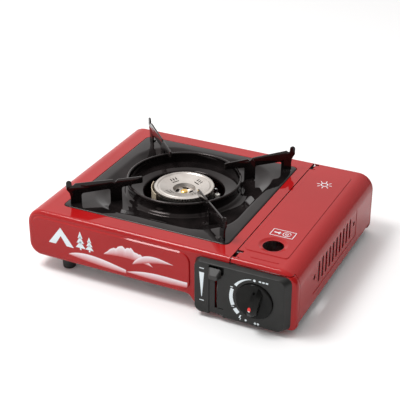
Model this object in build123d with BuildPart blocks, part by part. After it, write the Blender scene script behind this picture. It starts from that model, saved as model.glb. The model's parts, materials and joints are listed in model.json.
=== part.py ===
from build123d import *
import os
from math import atan2, cos, degrees, radians, sin, sqrt

os.makedirs("parts", exist_ok=True)

# A one-burner camp stove. The origin is on the ground under the middle of the stove,
# +Z is up, and the control panel faces -Y. All sizes are in millimetres.

# ---- overall sizes ----
case_width = 341.0
case_depth = 260.0
case_height = 79.0          # top plate above the ground
burner_room_floor = 17.7    # underside of the shallow left part
bay_floor = 4.5             # underside of the deep right part
panel_proud = 8.0           # control panel in front of the case
knob_proud = 13.0           # knob in front of the panel

# ---- sheet metal ----
sheet = 0.8
edge_radius = 5.0
side_radius = 20.0
low_side_radius = 16.0
low_bay_radius = 8.0
gap = 0.3                   # between parts that move past each other
running = 0.05              # radial clearance of a shaft in its bore
lip = 10.0                  # turned-in edge under the case

# ---- places worked out from the overall sizes ----
left_x = -case_width / 2
right_x = case_width / 2
mid_y = (panel_proud + knob_proud) / 2
front_y = mid_y - case_depth / 2
back_y = mid_y + case_depth / 2
top_z = case_height

# ---- cartridge lid ----
lid_width = 78.2
lid_edge_x = right_x - lid_width
seam = 1.3
case_edge_x = lid_edge_x - seam
lid_front_z = top_z - edge_radius
wall_top_z = lid_front_z - 1.0
lid_side_z = 14.0
corner_return = 8.0         # how far the case wraps round its right corners

# ---- drip tray, wind ring and arms ----
tray_size = 211.3
tray_margin = 15.1          # from the tray to the lid
burner_x = lid_edge_x - tray_margin - tray_size / 2
tray_sheet = 1.0
tray_top_z = top_z - 0.3
tray_skirt = 5.0
tray_gap = 1.2
tray_border = 13.15         # flat rim of the tray
basin_slope = 13.5          # how far the basin's sides run in
crease_half = tray_size / 2 - tray_border
crease_radius = 50.0
basin_half = crease_half - basin_slope
basin_radius = crease_radius - basin_slope
basin_z = top_z - 6.0
ledge = 4.5

# ---- burner, the collar round it and the wind ring ----
bowl_radius = 36.5
bowl_wall = 1.6
air_gap = 13.2              # from the bowl to the tray's collar
cap_radius = bowl_radius - 0.4
cap_top_z = top_z + 1.3
cap_thick = 1.2
collar_radius = bowl_radius + air_gap
ring_radius = collar_radius + 18.3
ring_foot_z = top_z - 1.7
ring_top_z = top_z + 12.8
ring_bead = 1.5
port_count = 70
port_height = 3.0
tube_z = 38.0
tube_radius = 9.5
neck_radius = 10.5

# ---- cartridge and its regulator ----
floor_top = bay_floor + 2 * sheet
cradle_lift = 1.7           # under the cartridge, for the cradle
can_radius = 33.2
can_x = right_x - can_radius - 6.3
can_z = floor_top + cradle_lift + can_radius
can_length = 184.0
can_front_y = front_y + 46.0
knob_x = right_x - 46.0
knob_z = 38.0
spindle_radius = 3.0
knob_radius = 21.5

# ---- cartridge lock ----
lock_travel = 38.0          # downward stroke of the slide button
push_travel = 7.0           # forward stroke of the cartridge pusher
stem_x = right_x - 92.0
stem_thick = 2.4
lock_pin_radius = 2.0
lock_pin_y = front_y + 14.0
lock_pin_z = 59.0

divider_x = case_edge_x - 10.0
hinge_x = lid_edge_x + 4.0
hinge_z = top_z - 3.8
hinge_pin_radius = 1.25
hinge_inset = 13.0          # hinge centre from the case's end
knuckle_radius = 2.7


def front_plane(y):
    """An upright plane facing -Y: its sketch x is +X and its sketch y is +Z."""
    return Plane.XZ.offset(-y)


def side_plane(x):
    """An upright plane facing +X: its sketch x is +Y and its sketch y is +Z."""
    return Plane.YZ.offset(x)


def level_plane(z):
    return Plane.XY.offset(z)


def spin_plane(x, y):
    """An upright plane through a vertical axis at x, y, for profiles of radius and height."""
    return Plane(origin=(x, y, 0), x_dir=(1, 0, 0), z_dir=(0, -1, 0))


def span_box(x0, x1, y0, y1, z0, z1):
    """A loose solid box between two corners."""
    return Solid.make_box(x1 - x0, y1 - y0, z1 - z0, Plane(origin=(x0, y0, z0)))


def case_block(inset):
    """The whole stove's outer form with every face moved inwards by inset."""
    outline = [
        (left_x, burner_room_floor),
        (step_x, burner_room_floor),
        (step_x + step_run, bay_floor),
        (right_x, bay_floor),
        (right_x, top_z),
        (left_x, top_z),
    ]
    radii = [low_side_radius, step_radius, step_radius, low_bay_radius, side_radius, side_radius]
    with BuildPart() as block:
        with BuildSketch(front_plane(back_y - inset)):
            with BuildLine():
                FilletPolyline(*outline, radius=radii, close=True)
            make_face()
            if inset > 0:
                offset(amount=-inset, mode=Mode.REPLACE)
        extrude(amount=case_depth - 2 * inset)
        ends = block.faces().sort_by(Axis.Y)
        fillet(ends[0].edges() + ends[-1].edges(), radius=edge_radius - inset)
    return block.part


step_x = case_edge_x - 51.0
step_run = 10.0
step_radius = 8.0

outer_block = case_block(0)
inner_block = case_block(sheet)
floor_block = case_block(2 * sheet)
shell = outer_block - inner_block

# ---- main case: top, front, back and left side in one pressed sheet ----
opening_half = tray_size / 2 + tray_gap
emboss = 1.5
emboss_x0 = left_x + 6.5
emboss_x1 = right_x - 126.5
emboss_z0 = burner_room_floor + 4.8
emboss_z1 = top_z - 6.5
emboss_radius = 13.0
emboss_centre = ((emboss_x0 + emboss_x1) / 2, (emboss_z0 + emboss_z1) / 2)
emboss_size = (emboss_x1 - emboss_x0, emboss_z1 - emboss_z0)
ledge_z = tray_top_z - tray_skirt - 0.2
slot_low_z = lock_pin_z - lock_travel - 5.0
slot_high_z = lock_pin_z + 7.0
slot_mid_z = (slot_low_z + slot_high_z) / 2

with BuildPart() as main_case:
    add(shell)
    add(
        span_box(case_edge_x, right_x + 1, front_y - 1, back_y + 1, wall_top_z, top_z + 1),
        mode=Mode.SUBTRACT,
    )
    # room for the lid's edge, which swings down past the end walls
    for end_y in (front_y, back_y):
        add(
            span_box(
                case_edge_x - 0.5,
                case_edge_x + 8,
                end_y - 1.5,
                end_y + 1.5,
                wall_top_z - 3,
                wall_top_z + 1,
            ),
            mode=Mode.SUBTRACT,
        )
    add(
        span_box(right_x - 14, right_x + 1, front_y + corner_return, back_y - corner_return, 0, top_z),
        mode=Mode.SUBTRACT,
    )
    add(
        span_box(
            left_x + low_side_radius + 2, right_x - 10, front_y + lip, back_y - lip, 0, burner_room_floor + 3
        ),
        mode=Mode.SUBTRACT,
    )
    with BuildSketch(level_plane(ledge_z - sheet)):
        with Locations((burner_x, mid_y)):
            RectangleRounded(2 * (opening_half + sheet), 2 * (opening_half + sheet), 7 + sheet)
    extrude(amount=top_z - ledge_z + sheet / 2)
    with BuildSketch(level_plane(ledge_z)):
        with Locations((burner_x, mid_y)):
            RectangleRounded(2 * opening_half, 2 * opening_half, 7)
    extrude(amount=top_z, mode=Mode.SUBTRACT)
    with BuildSketch(level_plane(ledge_z - 2 * sheet)):
        with Locations((burner_x, mid_y)):
            RectangleRounded(2 * (opening_half - ledge), 2 * (opening_half - ledge), 6)
    extrude(amount=top_z, mode=Mode.SUBTRACT)
    with BuildSketch(front_plane(front_y + sheet / 2)):
        with Locations(emboss_centre):
            RectangleRounded(*emboss_size, emboss_radius)
    extrude(amount=emboss + sheet / 2, taper=40)
    with BuildSketch(front_plane(front_y + sheet)):
        with Locations(emboss_centre):
            RectangleRounded(emboss_size[0] - 0.8, emboss_size[1] - 0.8, emboss_radius - 0.4)
    extrude(amount=emboss, taper=40, mode=Mode.SUBTRACT)
    with BuildSketch(front_plane(front_y + 2)):
        with Locations((knob_x, knob_z)):
            Circle(5.0)
        with Locations((stem_x, slot_mid_z)):
            Rectangle(stem_thick + 10 * gap, slot_high_z - slot_low_z + 4)
    extrude(amount=4, mode=Mode.SUBTRACT)
main_case.part.label = "main_case"
export_step(main_case.part, "parts/main_case.step")

# ---- bottom plate: lies on the case's turned-in edge and steps down under the bay ----
plate_right_x = right_x - low_bay_radius
with BuildPart() as bottom_plate:
    add(inner_block)
    add(floor_block, mode=Mode.SUBTRACT)
    add(
        span_box(
            left_x + low_side_radius,
            plate_right_x,
            front_y + edge_radius,
            back_y - edge_radius,
            bay_floor,
            burner_room_floor + 2 * sheet + 0.01,
        ),
        mode=Mode.INTERSECT,
    )
    add(
        span_box(
            plate_right_x - sheet,
            plate_right_x,
            front_y + lip + 2,
            back_y - lip - 2,
            bay_floor + sheet,
            bay_floor + 9,
        )
    )
bottom_plate.part.label = "bottom_plate"
export_step(bottom_plate.part, "parts/bottom_plate.step")

# ---- divider: keeps the cartridge bay apart from the burner room ----
pipe_radius = 3.0
pipe_z = bay_floor + 7.5
pipe_y = front_y + 24.0
wire_radius = 1.2
wire_z = top_z - 8.5
wire_y = front_y + 5.0
pin_way = 2 * lock_pin_radius + 4 * gap
with BuildPart() as divider_wall:
    add(floor_block)
    add(
        span_box(divider_x, divider_x + sheet, front_y, back_y, 0, top_z),
        mode=Mode.INTERSECT,
    )
    add(span_box(divider_x - 9, divider_x, front_y + 12, back_y - 12, floor_top, floor_top + sheet))
    with BuildSketch(side_plane(divider_x - 1)):
        with Locations((lock_pin_y, lock_pin_z - lock_travel / 2)):
            SlotOverall(lock_travel + pin_way, pin_way, rotation=90)
        with Locations((pipe_y, pipe_z)):
            Circle(pipe_radius + 1)
        with Locations((wire_y, wire_z)):
            Circle(wire_radius + 0.6)
    extrude(amount=4, mode=Mode.SUBTRACT)
divider_wall.part.label = "divider_wall"
export_step(divider_wall.part, "parts/divider_wall.step")

# ---- rubber feet ----
foot_radius = 8.5
left_foot_x = left_x + 42.5
right_foot_x = right_x - 31.0
foot_inset = 20.0
feet = {
    "foot_front_left": (left_foot_x, front_y + foot_inset, burner_room_floor + sheet),
    "foot_rear_left": (left_foot_x, back_y - foot_inset, burner_room_floor + sheet),
    "foot_front_right": (right_foot_x, front_y + foot_inset, bay_floor + sheet),
    "foot_rear_right": (right_foot_x, back_y - foot_inset, bay_floor + sheet),
}
for node, (x, y, height) in feet.items():
    with BuildPart() as foot:
        with BuildSketch(spin_plane(x, y)):
            with BuildLine():
                FilletPolyline(
                    (0, 0),
                    (foot_radius - 0.05 * height, 0),
                    (foot_radius, height),
                    (0, height),
                    radius=[1.2, 0.4],
                )
                Line((0, height), (0, 0))
            make_face()
        revolve(axis=Axis((x, y, 0), (0, 0, 1)))
    foot.part.label = node
    export_step(foot.part, f"parts/{node}.step")

# ---- control panel: a hollow moulding on the right of the front ----
panel_left_x = right_x - 120.5
panel_right_x = right_x - 6.5
panel_low_z = bay_floor + 1.0
panel_high_z = wall_top_z - 0.3
panel_wall = 2.0
panel_face_y = front_y - panel_proud
recess_depth = 1.5
disc_gap = 0.8
slot_width = stem_thick + 2 * gap
pocket_left_x = stem_x - 8.5
pocket_right_x = stem_x + 9.5
channel_right_x = stem_x + 2.5
channel_depth = 0.8
pocket_low_z = lock_pin_z - 3.0
pocket_outline = [
    (pocket_left_x, pocket_low_z),
    (channel_right_x, pocket_low_z),
    (pocket_right_x, pocket_low_z + 5),
    (pocket_right_x, slot_high_z + 4),
    (pocket_left_x, slot_high_z + 4),
]
notch_top_z = panel_low_z + 3.0


def panel_form(inset, depth):
    """The panel's form: a wide back, sides that lean in and a long bevel on the right."""
    x0, x1 = panel_left_x + inset, panel_right_x - inset
    z0, z1 = panel_low_z + inset, panel_high_z - inset
    with BuildPart() as form:
        with BuildSketch(front_plane(front_y)):
            with Locations(((x0 + x1) / 2, (z0 + z1) / 2)):
                RectangleRounded(x1 - x0, z1 - z0, 8 - inset)
        with BuildSketch(front_plane(front_y - depth)):
            with Locations(((x0 + 2.5 + x1 - 5.5) / 2, (z0 + 0.6 + z1 - 1.6) / 2)):
                RectangleRounded(x1 - x0 - 8, z1 - z0 - 2.2, 8 - inset)
        loft()
    return form.part


with BuildPart() as control_panel:
    add(panel_form(0, panel_proud))
    edge_ring = control_panel.faces().sort_by(Axis.Y)[0].edges()
    fillet(edge_ring, radius=1.0)
    add(panel_form(panel_wall, panel_proud - panel_wall), mode=Mode.SUBTRACT)
    with BuildSketch(front_plane(front_y)):
        with Locations((knob_x, knob_z)):
            Circle(knob_radius + 3)
            Circle(9, mode=Mode.SUBTRACT)
    extrude(amount=panel_proud - 0.5)
    with BuildSketch(front_plane(front_y)):
        with Locations((knob_x, knob_z)):
            Circle(9)
            Circle(spindle_radius + 0.6, mode=Mode.SUBTRACT)
    extrude(amount=panel_proud - recess_depth - 0.2)
    with BuildSketch(front_plane(panel_face_y + recess_depth)):
        with Locations((knob_x, knob_z)):
            Circle(knob_radius + disc_gap)
    extrude(amount=4, mode=Mode.SUBTRACT)
    with BuildSketch(front_plane(front_y + 1)):
        with Locations((knob_x, knob_z)):
            Circle(spindle_radius + 0.6)
    extrude(amount=14, mode=Mode.SUBTRACT)
    # a deeper pocket at the top of the slide's way, with one slanted corner
    with BuildSketch(front_plane(front_y - 2)):
        with BuildLine():
            Polyline(*pocket_outline, close=True)
        make_face()
        offset(amount=1.5)
    extrude(amount=panel_proud - 2 - panel_wall)
    with BuildSketch(front_plane(front_y - 3.5)):
        with BuildLine():
            Polyline(*pocket_outline, close=True)
        make_face()
    extrude(amount=14, mode=Mode.SUBTRACT)
    # a shallow channel from the pocket down to the notch, and the slot's short foot
    with BuildSketch(front_plane(panel_face_y + channel_depth)):
        with Locations(((pocket_left_x + channel_right_x) / 2, (notch_top_z + pocket_low_z) / 2)):
            Rectangle(channel_right_x - pocket_left_x, pocket_low_z - notch_top_z + 1)
        with Locations((stem_x + 5, slot_low_z + 1)):
            Rectangle(9, 1.2)
    extrude(amount=2, mode=Mode.SUBTRACT)
    with BuildSketch(front_plane(front_y + 1)):
        with Locations((stem_x, slot_mid_z)):
            Rectangle(slot_width, slot_high_z - slot_low_z)
    extrude(amount=14, mode=Mode.SUBTRACT)
    # the notch under the slide's way, closed at the top by a web
    add(
        span_box(pocket_left_x, stem_x + 8.5, panel_face_y - 1, front_y + 1, 0, notch_top_z),
        mode=Mode.SUBTRACT,
    )
    add(
        span_box(
            pocket_left_x,
            stem_x + 8.5,
            panel_face_y + 1,
            front_y - 0.01,
            notch_top_z,
            notch_top_z + panel_wall,
        )
    )
control_panel.part.label = "control_panel"
export_step(control_panel.part, "parts/control_panel.step")

# ---- panel screws: through the case's front wall into the moulding ----
panel_screws_at = [
    (panel_left_x + 8, panel_low_z + 7),
    (panel_right_x - 12, panel_low_z + 7),
    (knob_x + 30, panel_high_z - 8),
]
with BuildPart() as panel_screws:
    with BuildSketch(front_plane(front_y + sheet + 2)):
        with Locations(*panel_screws_at):
            Circle(3)
    extrude(amount=2)
    with BuildSketch(front_plane(front_y + sheet + 1)):
        with Locations(*panel_screws_at):
            Rectangle(4, 0.8)
            Rectangle(0.8, 4)
    extrude(amount=-2, mode=Mode.SUBTRACT)
panel_screws.part.label = "panel_screws"
export_step(panel_screws.part, "parts/panel_screws.step")

# ---- base screws: heads under the turned-in edge ----
base_screw_y = (front_y + lip - 2.6, back_y - lip + 2.6)
base_screw_rows = (
    (left_x + 75, burner_room_floor),
    (burner_x + 30, burner_room_floor),
    (right_x - 60, bay_floor),
)
with BuildPart() as base_screws:
    for x, z in base_screw_rows:
        with BuildSketch(level_plane(z)):
            with Locations(*[(x, y) for y in base_screw_y]):
                Circle(2.3)
        extrude(amount=-1.4)
base_screws.part.label = "base_screws"
export_step(base_screws.part, "parts/base_screws.step")

# ---- burner bowl: a chamber with a ring of flame ports round its top ----
bowl_top_z = cap_top_z - cap_thick - port_height
neck_low_z = tube_z + 5.0
burner_axis = Axis((burner_x, mid_y, 0), (0, 0, 1))
dish_floor_z = cap_top_z - 9.8
with BuildPart() as burner_body:
    with BuildSketch(spin_plane(burner_x, mid_y)):
        with BuildLine():
            Polyline(
                (neck_radius, neck_low_z),
                (neck_radius, neck_low_z + 6),
                (bowl_radius - 6, neck_low_z + 13),
                (bowl_radius, neck_low_z + 18),
                (bowl_radius, bowl_top_z),
                (bowl_radius - bowl_wall - 0.6, bowl_top_z),
                (bowl_radius - bowl_wall - 0.6, neck_low_z + 19),
                (bowl_radius - 7, neck_low_z + 15),
                (neck_radius - bowl_wall, neck_low_z + 7.5),
                (neck_radius - bowl_wall, neck_low_z),
                close=True,
            )
        make_face()
    revolve(axis=burner_axis)
    # posts between the flame ports
    with BuildSketch(level_plane(bowl_top_z)):
        with Locations((burner_x, mid_y)):
            Circle(bowl_radius)
            Circle(bowl_radius - bowl_wall - 0.6, mode=Mode.SUBTRACT)
            with PolarLocations(bowl_radius, port_count):
                Rectangle(8, 1.5, mode=Mode.SUBTRACT)
    extrude(amount=port_height)
    # spider that carries the cap's screw
    with BuildSketch(level_plane(neck_low_z + 8)):
        with Locations((burner_x, mid_y)):
            Rectangle(2 * neck_radius + 12, 3)
            Rectangle(3, 2 * neck_radius + 12)
            Circle(4.5)
    extrude(amount=6)
    with BuildSketch(level_plane(neck_low_z + 8)):
        with Locations((burner_x, mid_y)):
            Circle(4.5)
    extrude(amount=dish_floor_z - neck_low_z - 8)
    with BuildSketch(level_plane(dish_floor_z)):
        with Locations((burner_x, mid_y)):
            Circle(1.9)
    extrude(amount=-10, mode=Mode.SUBTRACT)
burner_body.part.label = "burner_body"
export_step(burner_body.part, "parts/burner_body.step")

# ---- burner cap: a pressed dish with a grooved rim, a well for the screw and stamped slots ----
cap_low_z = cap_top_z - cap_thick
cap_sheet = 1.0
groove_radius = bowl_radius - 4.7
screw_seat_radius = 5.6
window_radius = 11.0
well_radius = 11.6
brink_radius = 13.8
brink_z = cap_top_z - 4.4
stamp_reach = 20.5
with BuildPart() as burner_cap:
    with BuildSketch(spin_plane(burner_x, mid_y)):
        with BuildLine():
            Polyline(
                (1.9, dish_floor_z),
                (well_radius + 0.5, dish_floor_z),
                (brink_radius + 0.5, brink_z - 1.1 * cap_sheet),
                (groove_radius - 2.6, cap_low_z - 0.5),
                (bowl_radius - bowl_wall - 1.2, cap_low_z),
                (cap_radius - 0.4, cap_low_z),
                (cap_radius, cap_low_z + 0.3),
                (cap_radius, cap_top_z - 0.3),
                (cap_radius - 0.8, cap_top_z),
                (groove_radius + 0.9, cap_top_z),
                (groove_radius, cap_top_z - 0.7),
                (groove_radius - 1.0, cap_top_z - 0.2),
                (groove_radius - 2.2, cap_top_z - 0.3),
                (brink_radius, brink_z),
                (well_radius, dish_floor_z + cap_sheet),
                (1.9, dish_floor_z + cap_sheet),
                close=True,
            )
        make_face()
    revolve(axis=burner_axis)
    # four windows round the screw let secondary air in
    for turn in range(4):
        with BuildSketch(level_plane(dish_floor_z - 1)):
            with BuildLine():
                outside = CenterArc((burner_x, mid_y), window_radius, 90 * turn - 18, 58)
                inside = CenterArc((burner_x, mid_y), screw_seat_radius + 1, 90 * turn - 12, 46)
                Line(outside @ 0, inside @ 0)
                Line(outside @ 1, inside @ 1)
            make_face()
        extrude(amount=cap_top_z - dish_floor_z, mode=Mode.SUBTRACT)
    # stamped slots in four groups on the slope
    for turn in range(4):
        angle = 90 * turn + 61
        group_x = burner_x + stamp_reach * cos(radians(angle))
        group_y = mid_y + stamp_reach * sin(radians(angle))
        with BuildSketch(level_plane(dish_floor_z - 1)):
            with Locations(Location((group_x, group_y), angle)):
                with Locations((2.4, -3.6), (2.4, 0), (2.4, 3.6)):
                    SlotOverall(4.4, 1.5)
                with Locations((-2.2, 0)):
                    SlotOverall(9.5, 1.3, rotation=90)
        extrude(amount=cap_top_z - dish_floor_z + 2, mode=Mode.SUBTRACT)
burner_cap.part.label = "burner_cap"
export_step(burner_cap.part, "parts/burner_cap.step")

# ---- brass screw in the middle of the cap ----
with BuildPart() as cap_screw:
    with BuildSketch(spin_plane(burner_x, mid_y)):
        with BuildLine():
            Polyline(
                (0, dish_floor_z - 8),
                (1.8, dish_floor_z - 8),
                (1.8, dish_floor_z + 1.0),
                (4.2, dish_floor_z + 1.0),
                (4.2, dish_floor_z + 1.9),
                (3.2, dish_floor_z + 2.7),
                (0, dish_floor_z + 2.9),
                close=True,
            )
        make_face()
    revolve(axis=burner_axis)
    with BuildSketch(level_plane(dish_floor_z + 2.0)):
        with Locations((burner_x, mid_y)):
            Rectangle(10, 1.1, rotation=25)
    extrude(amount=2, mode=Mode.SUBTRACT)
cap_screw.part.label = "cap_screw"
export_step(cap_screw.part, "parts/cap_screw.step")

# ---- mixing tube: from the nozzle to the neck of the bowl ----
mouth_x = lid_edge_x - 46.0
tube_left_x = burner_x - 12.0
mouth_radius = 12.5
tube_wall = 1.0


def tube_form(inset):
    """The mixing tube's outer form, or its bore when inset is the wall."""
    with BuildPart() as form:
        with BuildSketch(front_plane(mid_y)):
            with BuildLine():
                Polyline(
                    (tube_left_x + inset, tube_z),
                    (tube_left_x + inset, tube_z + tube_radius - inset),
                    (mouth_x - 10, tube_z + tube_radius - inset),
                    (mouth_x + inset, tube_z + mouth_radius - inset / 2),
                    (mouth_x + inset, tube_z),
                    close=True,
                )
            make_face()
        revolve(axis=Axis((0, mid_y, tube_z), (1, 0, 0)))
    return form.part


with BuildPart() as mixing_tube:
    add(tube_form(0))
    with BuildSketch(level_plane(tube_z)):
        with Locations((burner_x, mid_y)):
            Circle(neck_radius + 2)
    extrude(amount=neck_low_z + 3 - tube_z)
    add(tube_form(tube_wall), mode=Mode.SUBTRACT)
    with BuildSketch(level_plane(neck_low_z)):
        with Locations((burner_x, mid_y)):
            Circle(neck_radius)
    extrude(amount=10, mode=Mode.SUBTRACT)
    with BuildSketch(level_plane(tube_z)):
        with Locations((burner_x, mid_y)):
            Circle(neck_radius - bowl_wall)
    extrude(amount=20, mode=Mode.SUBTRACT)
mixing_tube.part.label = "mixing_tube"
export_step(mixing_tube.part, "parts/mixing_tube.step")

# ---- burner bracket: a hat-shaped strap that carries the tube on the floor ----
room_floor_top = burner_room_floor + 2 * sheet
strap_top_z = tube_z - tube_radius
strap_thick = 1.2
with BuildPart() as burner_bracket:
    with BuildSketch(side_plane(burner_x - 10)):
        with BuildLine():
            path = FilletPolyline(
                (mid_y - 26, room_floor_top + strap_thick / 2),
                (mid_y - 14, room_floor_top + strap_thick / 2),
                (mid_y - 14, strap_top_z - strap_thick / 2),
                (mid_y + 14, strap_top_z - strap_thick / 2),
                (mid_y + 14, room_floor_top + strap_thick / 2),
                (mid_y + 26, room_floor_top + strap_thick / 2),
                radius=2,
            )
        trace(path, line_width=strap_thick)
    extrude(amount=34)
burner_bracket.part.label = "burner_bracket"
export_step(burner_bracket.part, "parts/burner_bracket.step")

# ---- burner shield: a curved guard that stands off the bowl's left side ----
shield_radius = bowl_radius + 2.6
with BuildPart() as burner_shield:
    with BuildSketch(level_plane(cap_low_z - 20)):
        with BuildLine():
            inside = CenterArc((burner_x, mid_y), shield_radius, 186, 52)
            outside = CenterArc((burner_x, mid_y), shield_radius + sheet, 186, 52)
            Line(inside @ 0, outside @ 0)
            Line(inside @ 1, outside @ 1)
        make_face()
    extrude(amount=19.5)
    with BuildSketch(level_plane(cap_low_z - 17)):
        with Locations(Location((burner_x, mid_y), 218)):
            with Locations(((bowl_radius + shield_radius) / 2 + 0.25, 0)):
                Rectangle(shield_radius - bowl_radius + 0.3, 7)
    extrude(amount=1.2)
    with BuildSketch(level_plane(cap_low_z - 18)):
        with Locations((burner_x, mid_y)):
            Circle(bowl_radius)
    extrude(amount=4, mode=Mode.SUBTRACT)
burner_shield.part.label = "burner_shield"
export_step(burner_shield.part, "parts/burner_shield.step")

# ---- nozzle and its bracket ----
nozzle_plate_x = mouth_x + 14.0
with BuildPart() as nozzle_bracket:
    with BuildSketch(side_plane(nozzle_plate_x)):
        with BuildLine():
            Polyline(
                (mid_y - 11, floor_top),
                (mid_y + 11, floor_top),
                (mid_y + 11, tube_z + 4),
                (mid_y + 6, tube_z + 10),
                (mid_y - 6, tube_z + 10),
                (mid_y - 11, tube_z + 4),
                close=True,
            )
        make_face()
        with Locations((mid_y, tube_z)):
            Circle(4, mode=Mode.SUBTRACT)
    extrude(amount=1.5)
    add(span_box(nozzle_plate_x, nozzle_plate_x + 9, mid_y - 11, mid_y + 11, floor_top, floor_top + 1.5))
nozzle_bracket.part.label = "nozzle_bracket"
export_step(nozzle_bracket.part, "parts/nozzle_bracket.step")

with BuildPart() as gas_nozzle:
    with BuildSketch(front_plane(mid_y)):
        with BuildLine():
            Polyline(
                (nozzle_plate_x - 12, tube_z),
                (nozzle_plate_x - 12, tube_z + 1.6),
                (nozzle_plate_x - 6, tube_z + 3.4),
                (nozzle_plate_x - 6, tube_z + 4),
                (nozzle_plate_x + 3, tube_z + 4),
                (nozzle_plate_x + 3, tube_z),
                close=True,
            )
        make_face()
    revolve(axis=Axis((0, mid_y, tube_z), (1, 0, 0)))
    with BuildSketch(side_plane(nozzle_plate_x + 1.5)):
        with Locations((mid_y, tube_z)):
            RegularPolygon(radius=6.6, side_count=6)
    extrude(amount=5)
    with BuildSketch(side_plane(nozzle_plate_x - 13)):
        with Locations((mid_y, tube_z)):
            Circle(0.6)
    extrude(amount=20, mode=Mode.SUBTRACT)
gas_nozzle.part.label = "gas_nozzle"
export_step(gas_nozzle.part, "parts/gas_nozzle.step")

# ---- gas pipe: from the regulator under the lock and back to the nozzle ----
regulator_x0 = can_x - 23.0
regulator_x1 = can_x + 15.0
regulator_z0 = can_z - 19.0
regulator_z1 = can_z + 19.0
regulator_y0 = front_y + 10.0
regulator_y1 = front_y + 34.0
outlet_x = regulator_x0 + 6.0
pipe_turn_x = divider_x - 6.5
pipe_start_x = nozzle_plate_x + 6.5
with BuildPart() as gas_pipe:
    with BuildLine():
        FilletPolyline(
            (pipe_start_x, mid_y, tube_z),
            (pipe_turn_x, mid_y, tube_z),
            (pipe_turn_x, mid_y - 55, pipe_z),
            (pipe_turn_x, pipe_y, pipe_z),
            (outlet_x, pipe_y, pipe_z),
            (outlet_x, pipe_y, regulator_z0),
            radius=5.5,
        )
    with BuildSketch(side_plane(pipe_start_x)):
        with Locations((mid_y, tube_z)):
            Circle(pipe_radius)
            Circle(pipe_radius - 0.8, mode=Mode.SUBTRACT)
    sweep()
gas_pipe.part.label = "gas_pipe"
export_step(gas_pipe.part, "parts/gas_pipe.step")

with BuildPart() as pipe_nut:
    with BuildSketch(level_plane(regulator_z0 - 4)):
        with Locations((outlet_x, pipe_y)):
            RegularPolygon(radius=6, side_count=6)
            Circle(pipe_radius, mode=Mode.SUBTRACT)
    extrude(amount=4)
pipe_nut.part.label = "pipe_nut"
export_step(pipe_nut.part, "parts/pipe_nut.step")

# ---- regulator: valve boss towards the knob, socket towards the cartridge ----
socket_radius = 5.2
seal_thick = 1.6
with BuildPart() as regulator_body:
    with BuildSketch(front_plane(regulator_y1)):
        with Locations(((regulator_x0 + regulator_x1) / 2, (regulator_z0 + regulator_z1) / 2)):
            RectangleRounded(regulator_x1 - regulator_x0, regulator_z1 - regulator_z0, 5)
    extrude(amount=regulator_y1 - regulator_y0)
    fillet(regulator_body.faces().sort_by(Axis.Y)[0].edges(), radius=1.5)
    with BuildSketch(front_plane(regulator_y1)):
        with Locations((can_x, can_z)):
            Circle(12)
    extrude(amount=-8)
    with BuildSketch(front_plane(regulator_y1 + 8)):
        with Locations((can_x, can_z)):
            Circle(socket_radius)
    extrude(amount=10, mode=Mode.SUBTRACT)
    with BuildSketch(front_plane(regulator_y0 + 14)):
        with Locations((knob_x, knob_z)):
            Circle(spindle_radius + running)
    extrude(amount=20, mode=Mode.SUBTRACT)
    with BuildSketch(level_plane(regulator_z0)):
        with Locations((outlet_x, pipe_y)):
            Circle(pipe_radius - 0.8)
    extrude(amount=8, mode=Mode.SUBTRACT)
regulator_body.part.label = "regulator_body"
export_step(regulator_body.part, "parts/regulator_body.step")

with BuildPart() as cartridge_seal:
    with BuildSketch(front_plane(regulator_y1 - 2 + seal_thick)):
        with Locations((can_x, can_z)):
            Circle(socket_radius - 0.02)
            Circle(2.2, mode=Mode.SUBTRACT)
    extrude(amount=seal_thick)
cartridge_seal.part.label = "cartridge_seal"
export_step(cartridge_seal.part, "parts/cartridge_seal.step")

cover_y = (regulator_y0 + regulator_y1) / 2
with BuildPart() as diaphragm:
    with BuildSketch(side_plane(regulator_x1)):
        with Locations((cover_y, can_z)):
            Circle(11.5)
    extrude(amount=0.8)
diaphragm.part.label = "diaphragm"
export_step(diaphragm.part, "parts/diaphragm.step")

with BuildPart() as regulator_cover:
    with BuildSketch(side_plane(regulator_x1 + 0.8)):
        with Locations((cover_y, can_z)):
            Circle(11.5)
    extrude(amount=1.2)
    with BuildSketch(side_plane(regulator_x1 + 2.0)):
        with Locations((cover_y, can_z)):
            Circle(9)
    extrude(amount=5, taper=12)
    fillet(regulator_cover.faces().sort_by(Axis.X)[-1].edges(), radius=1.2)
    with BuildSketch(side_plane(regulator_x1 + 0.8)):
        with Locations((cover_y, can_z)):
            Circle(7)
    extrude(amount=4.5, mode=Mode.SUBTRACT)
regulator_cover.part.label = "regulator_cover"
export_step(regulator_cover.part, "parts/regulator_cover.step")

# ---- regulator bracket: an upright plate across the bay with a locating tab ----
bracket_x0 = divider_x + 8.0
bracket_x1 = right_x - 9.0
with BuildPart() as regulator_bracket:
    with BuildSketch(front_plane(regulator_y1 + 1.2)):
        with Locations(((bracket_x0 + bracket_x1) / 2, (floor_top + top_z - 12) / 2)):
            RectangleRounded(bracket_x1 - bracket_x0, top_z - 12 - floor_top, 4)
        with Locations((can_x, can_z)):
            Circle(12.0, mode=Mode.SUBTRACT)
        with Locations((can_x - 28, can_z + 14), (can_x + 26, can_z + 14)):
            Circle(4, mode=Mode.SUBTRACT)
    extrude(amount=1.2)
    add(
        span_box(
            bracket_x0 + 4,
            bracket_x1 - 6,
            regulator_y1 + 1.2,
            regulator_y1 + 10,
            floor_top,
            floor_top + 1.2,
        )
    )
    add(
        span_box(
            can_x - 2.5,
            can_x + 2.5,
            regulator_y1 + 1.2,
            regulator_y1 + 9,
            can_z + 20.5,
            can_z + 22,
        )
    )
regulator_bracket.part.label = "regulator_bracket"
export_step(regulator_bracket.part, "parts/regulator_bracket.step")

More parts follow.
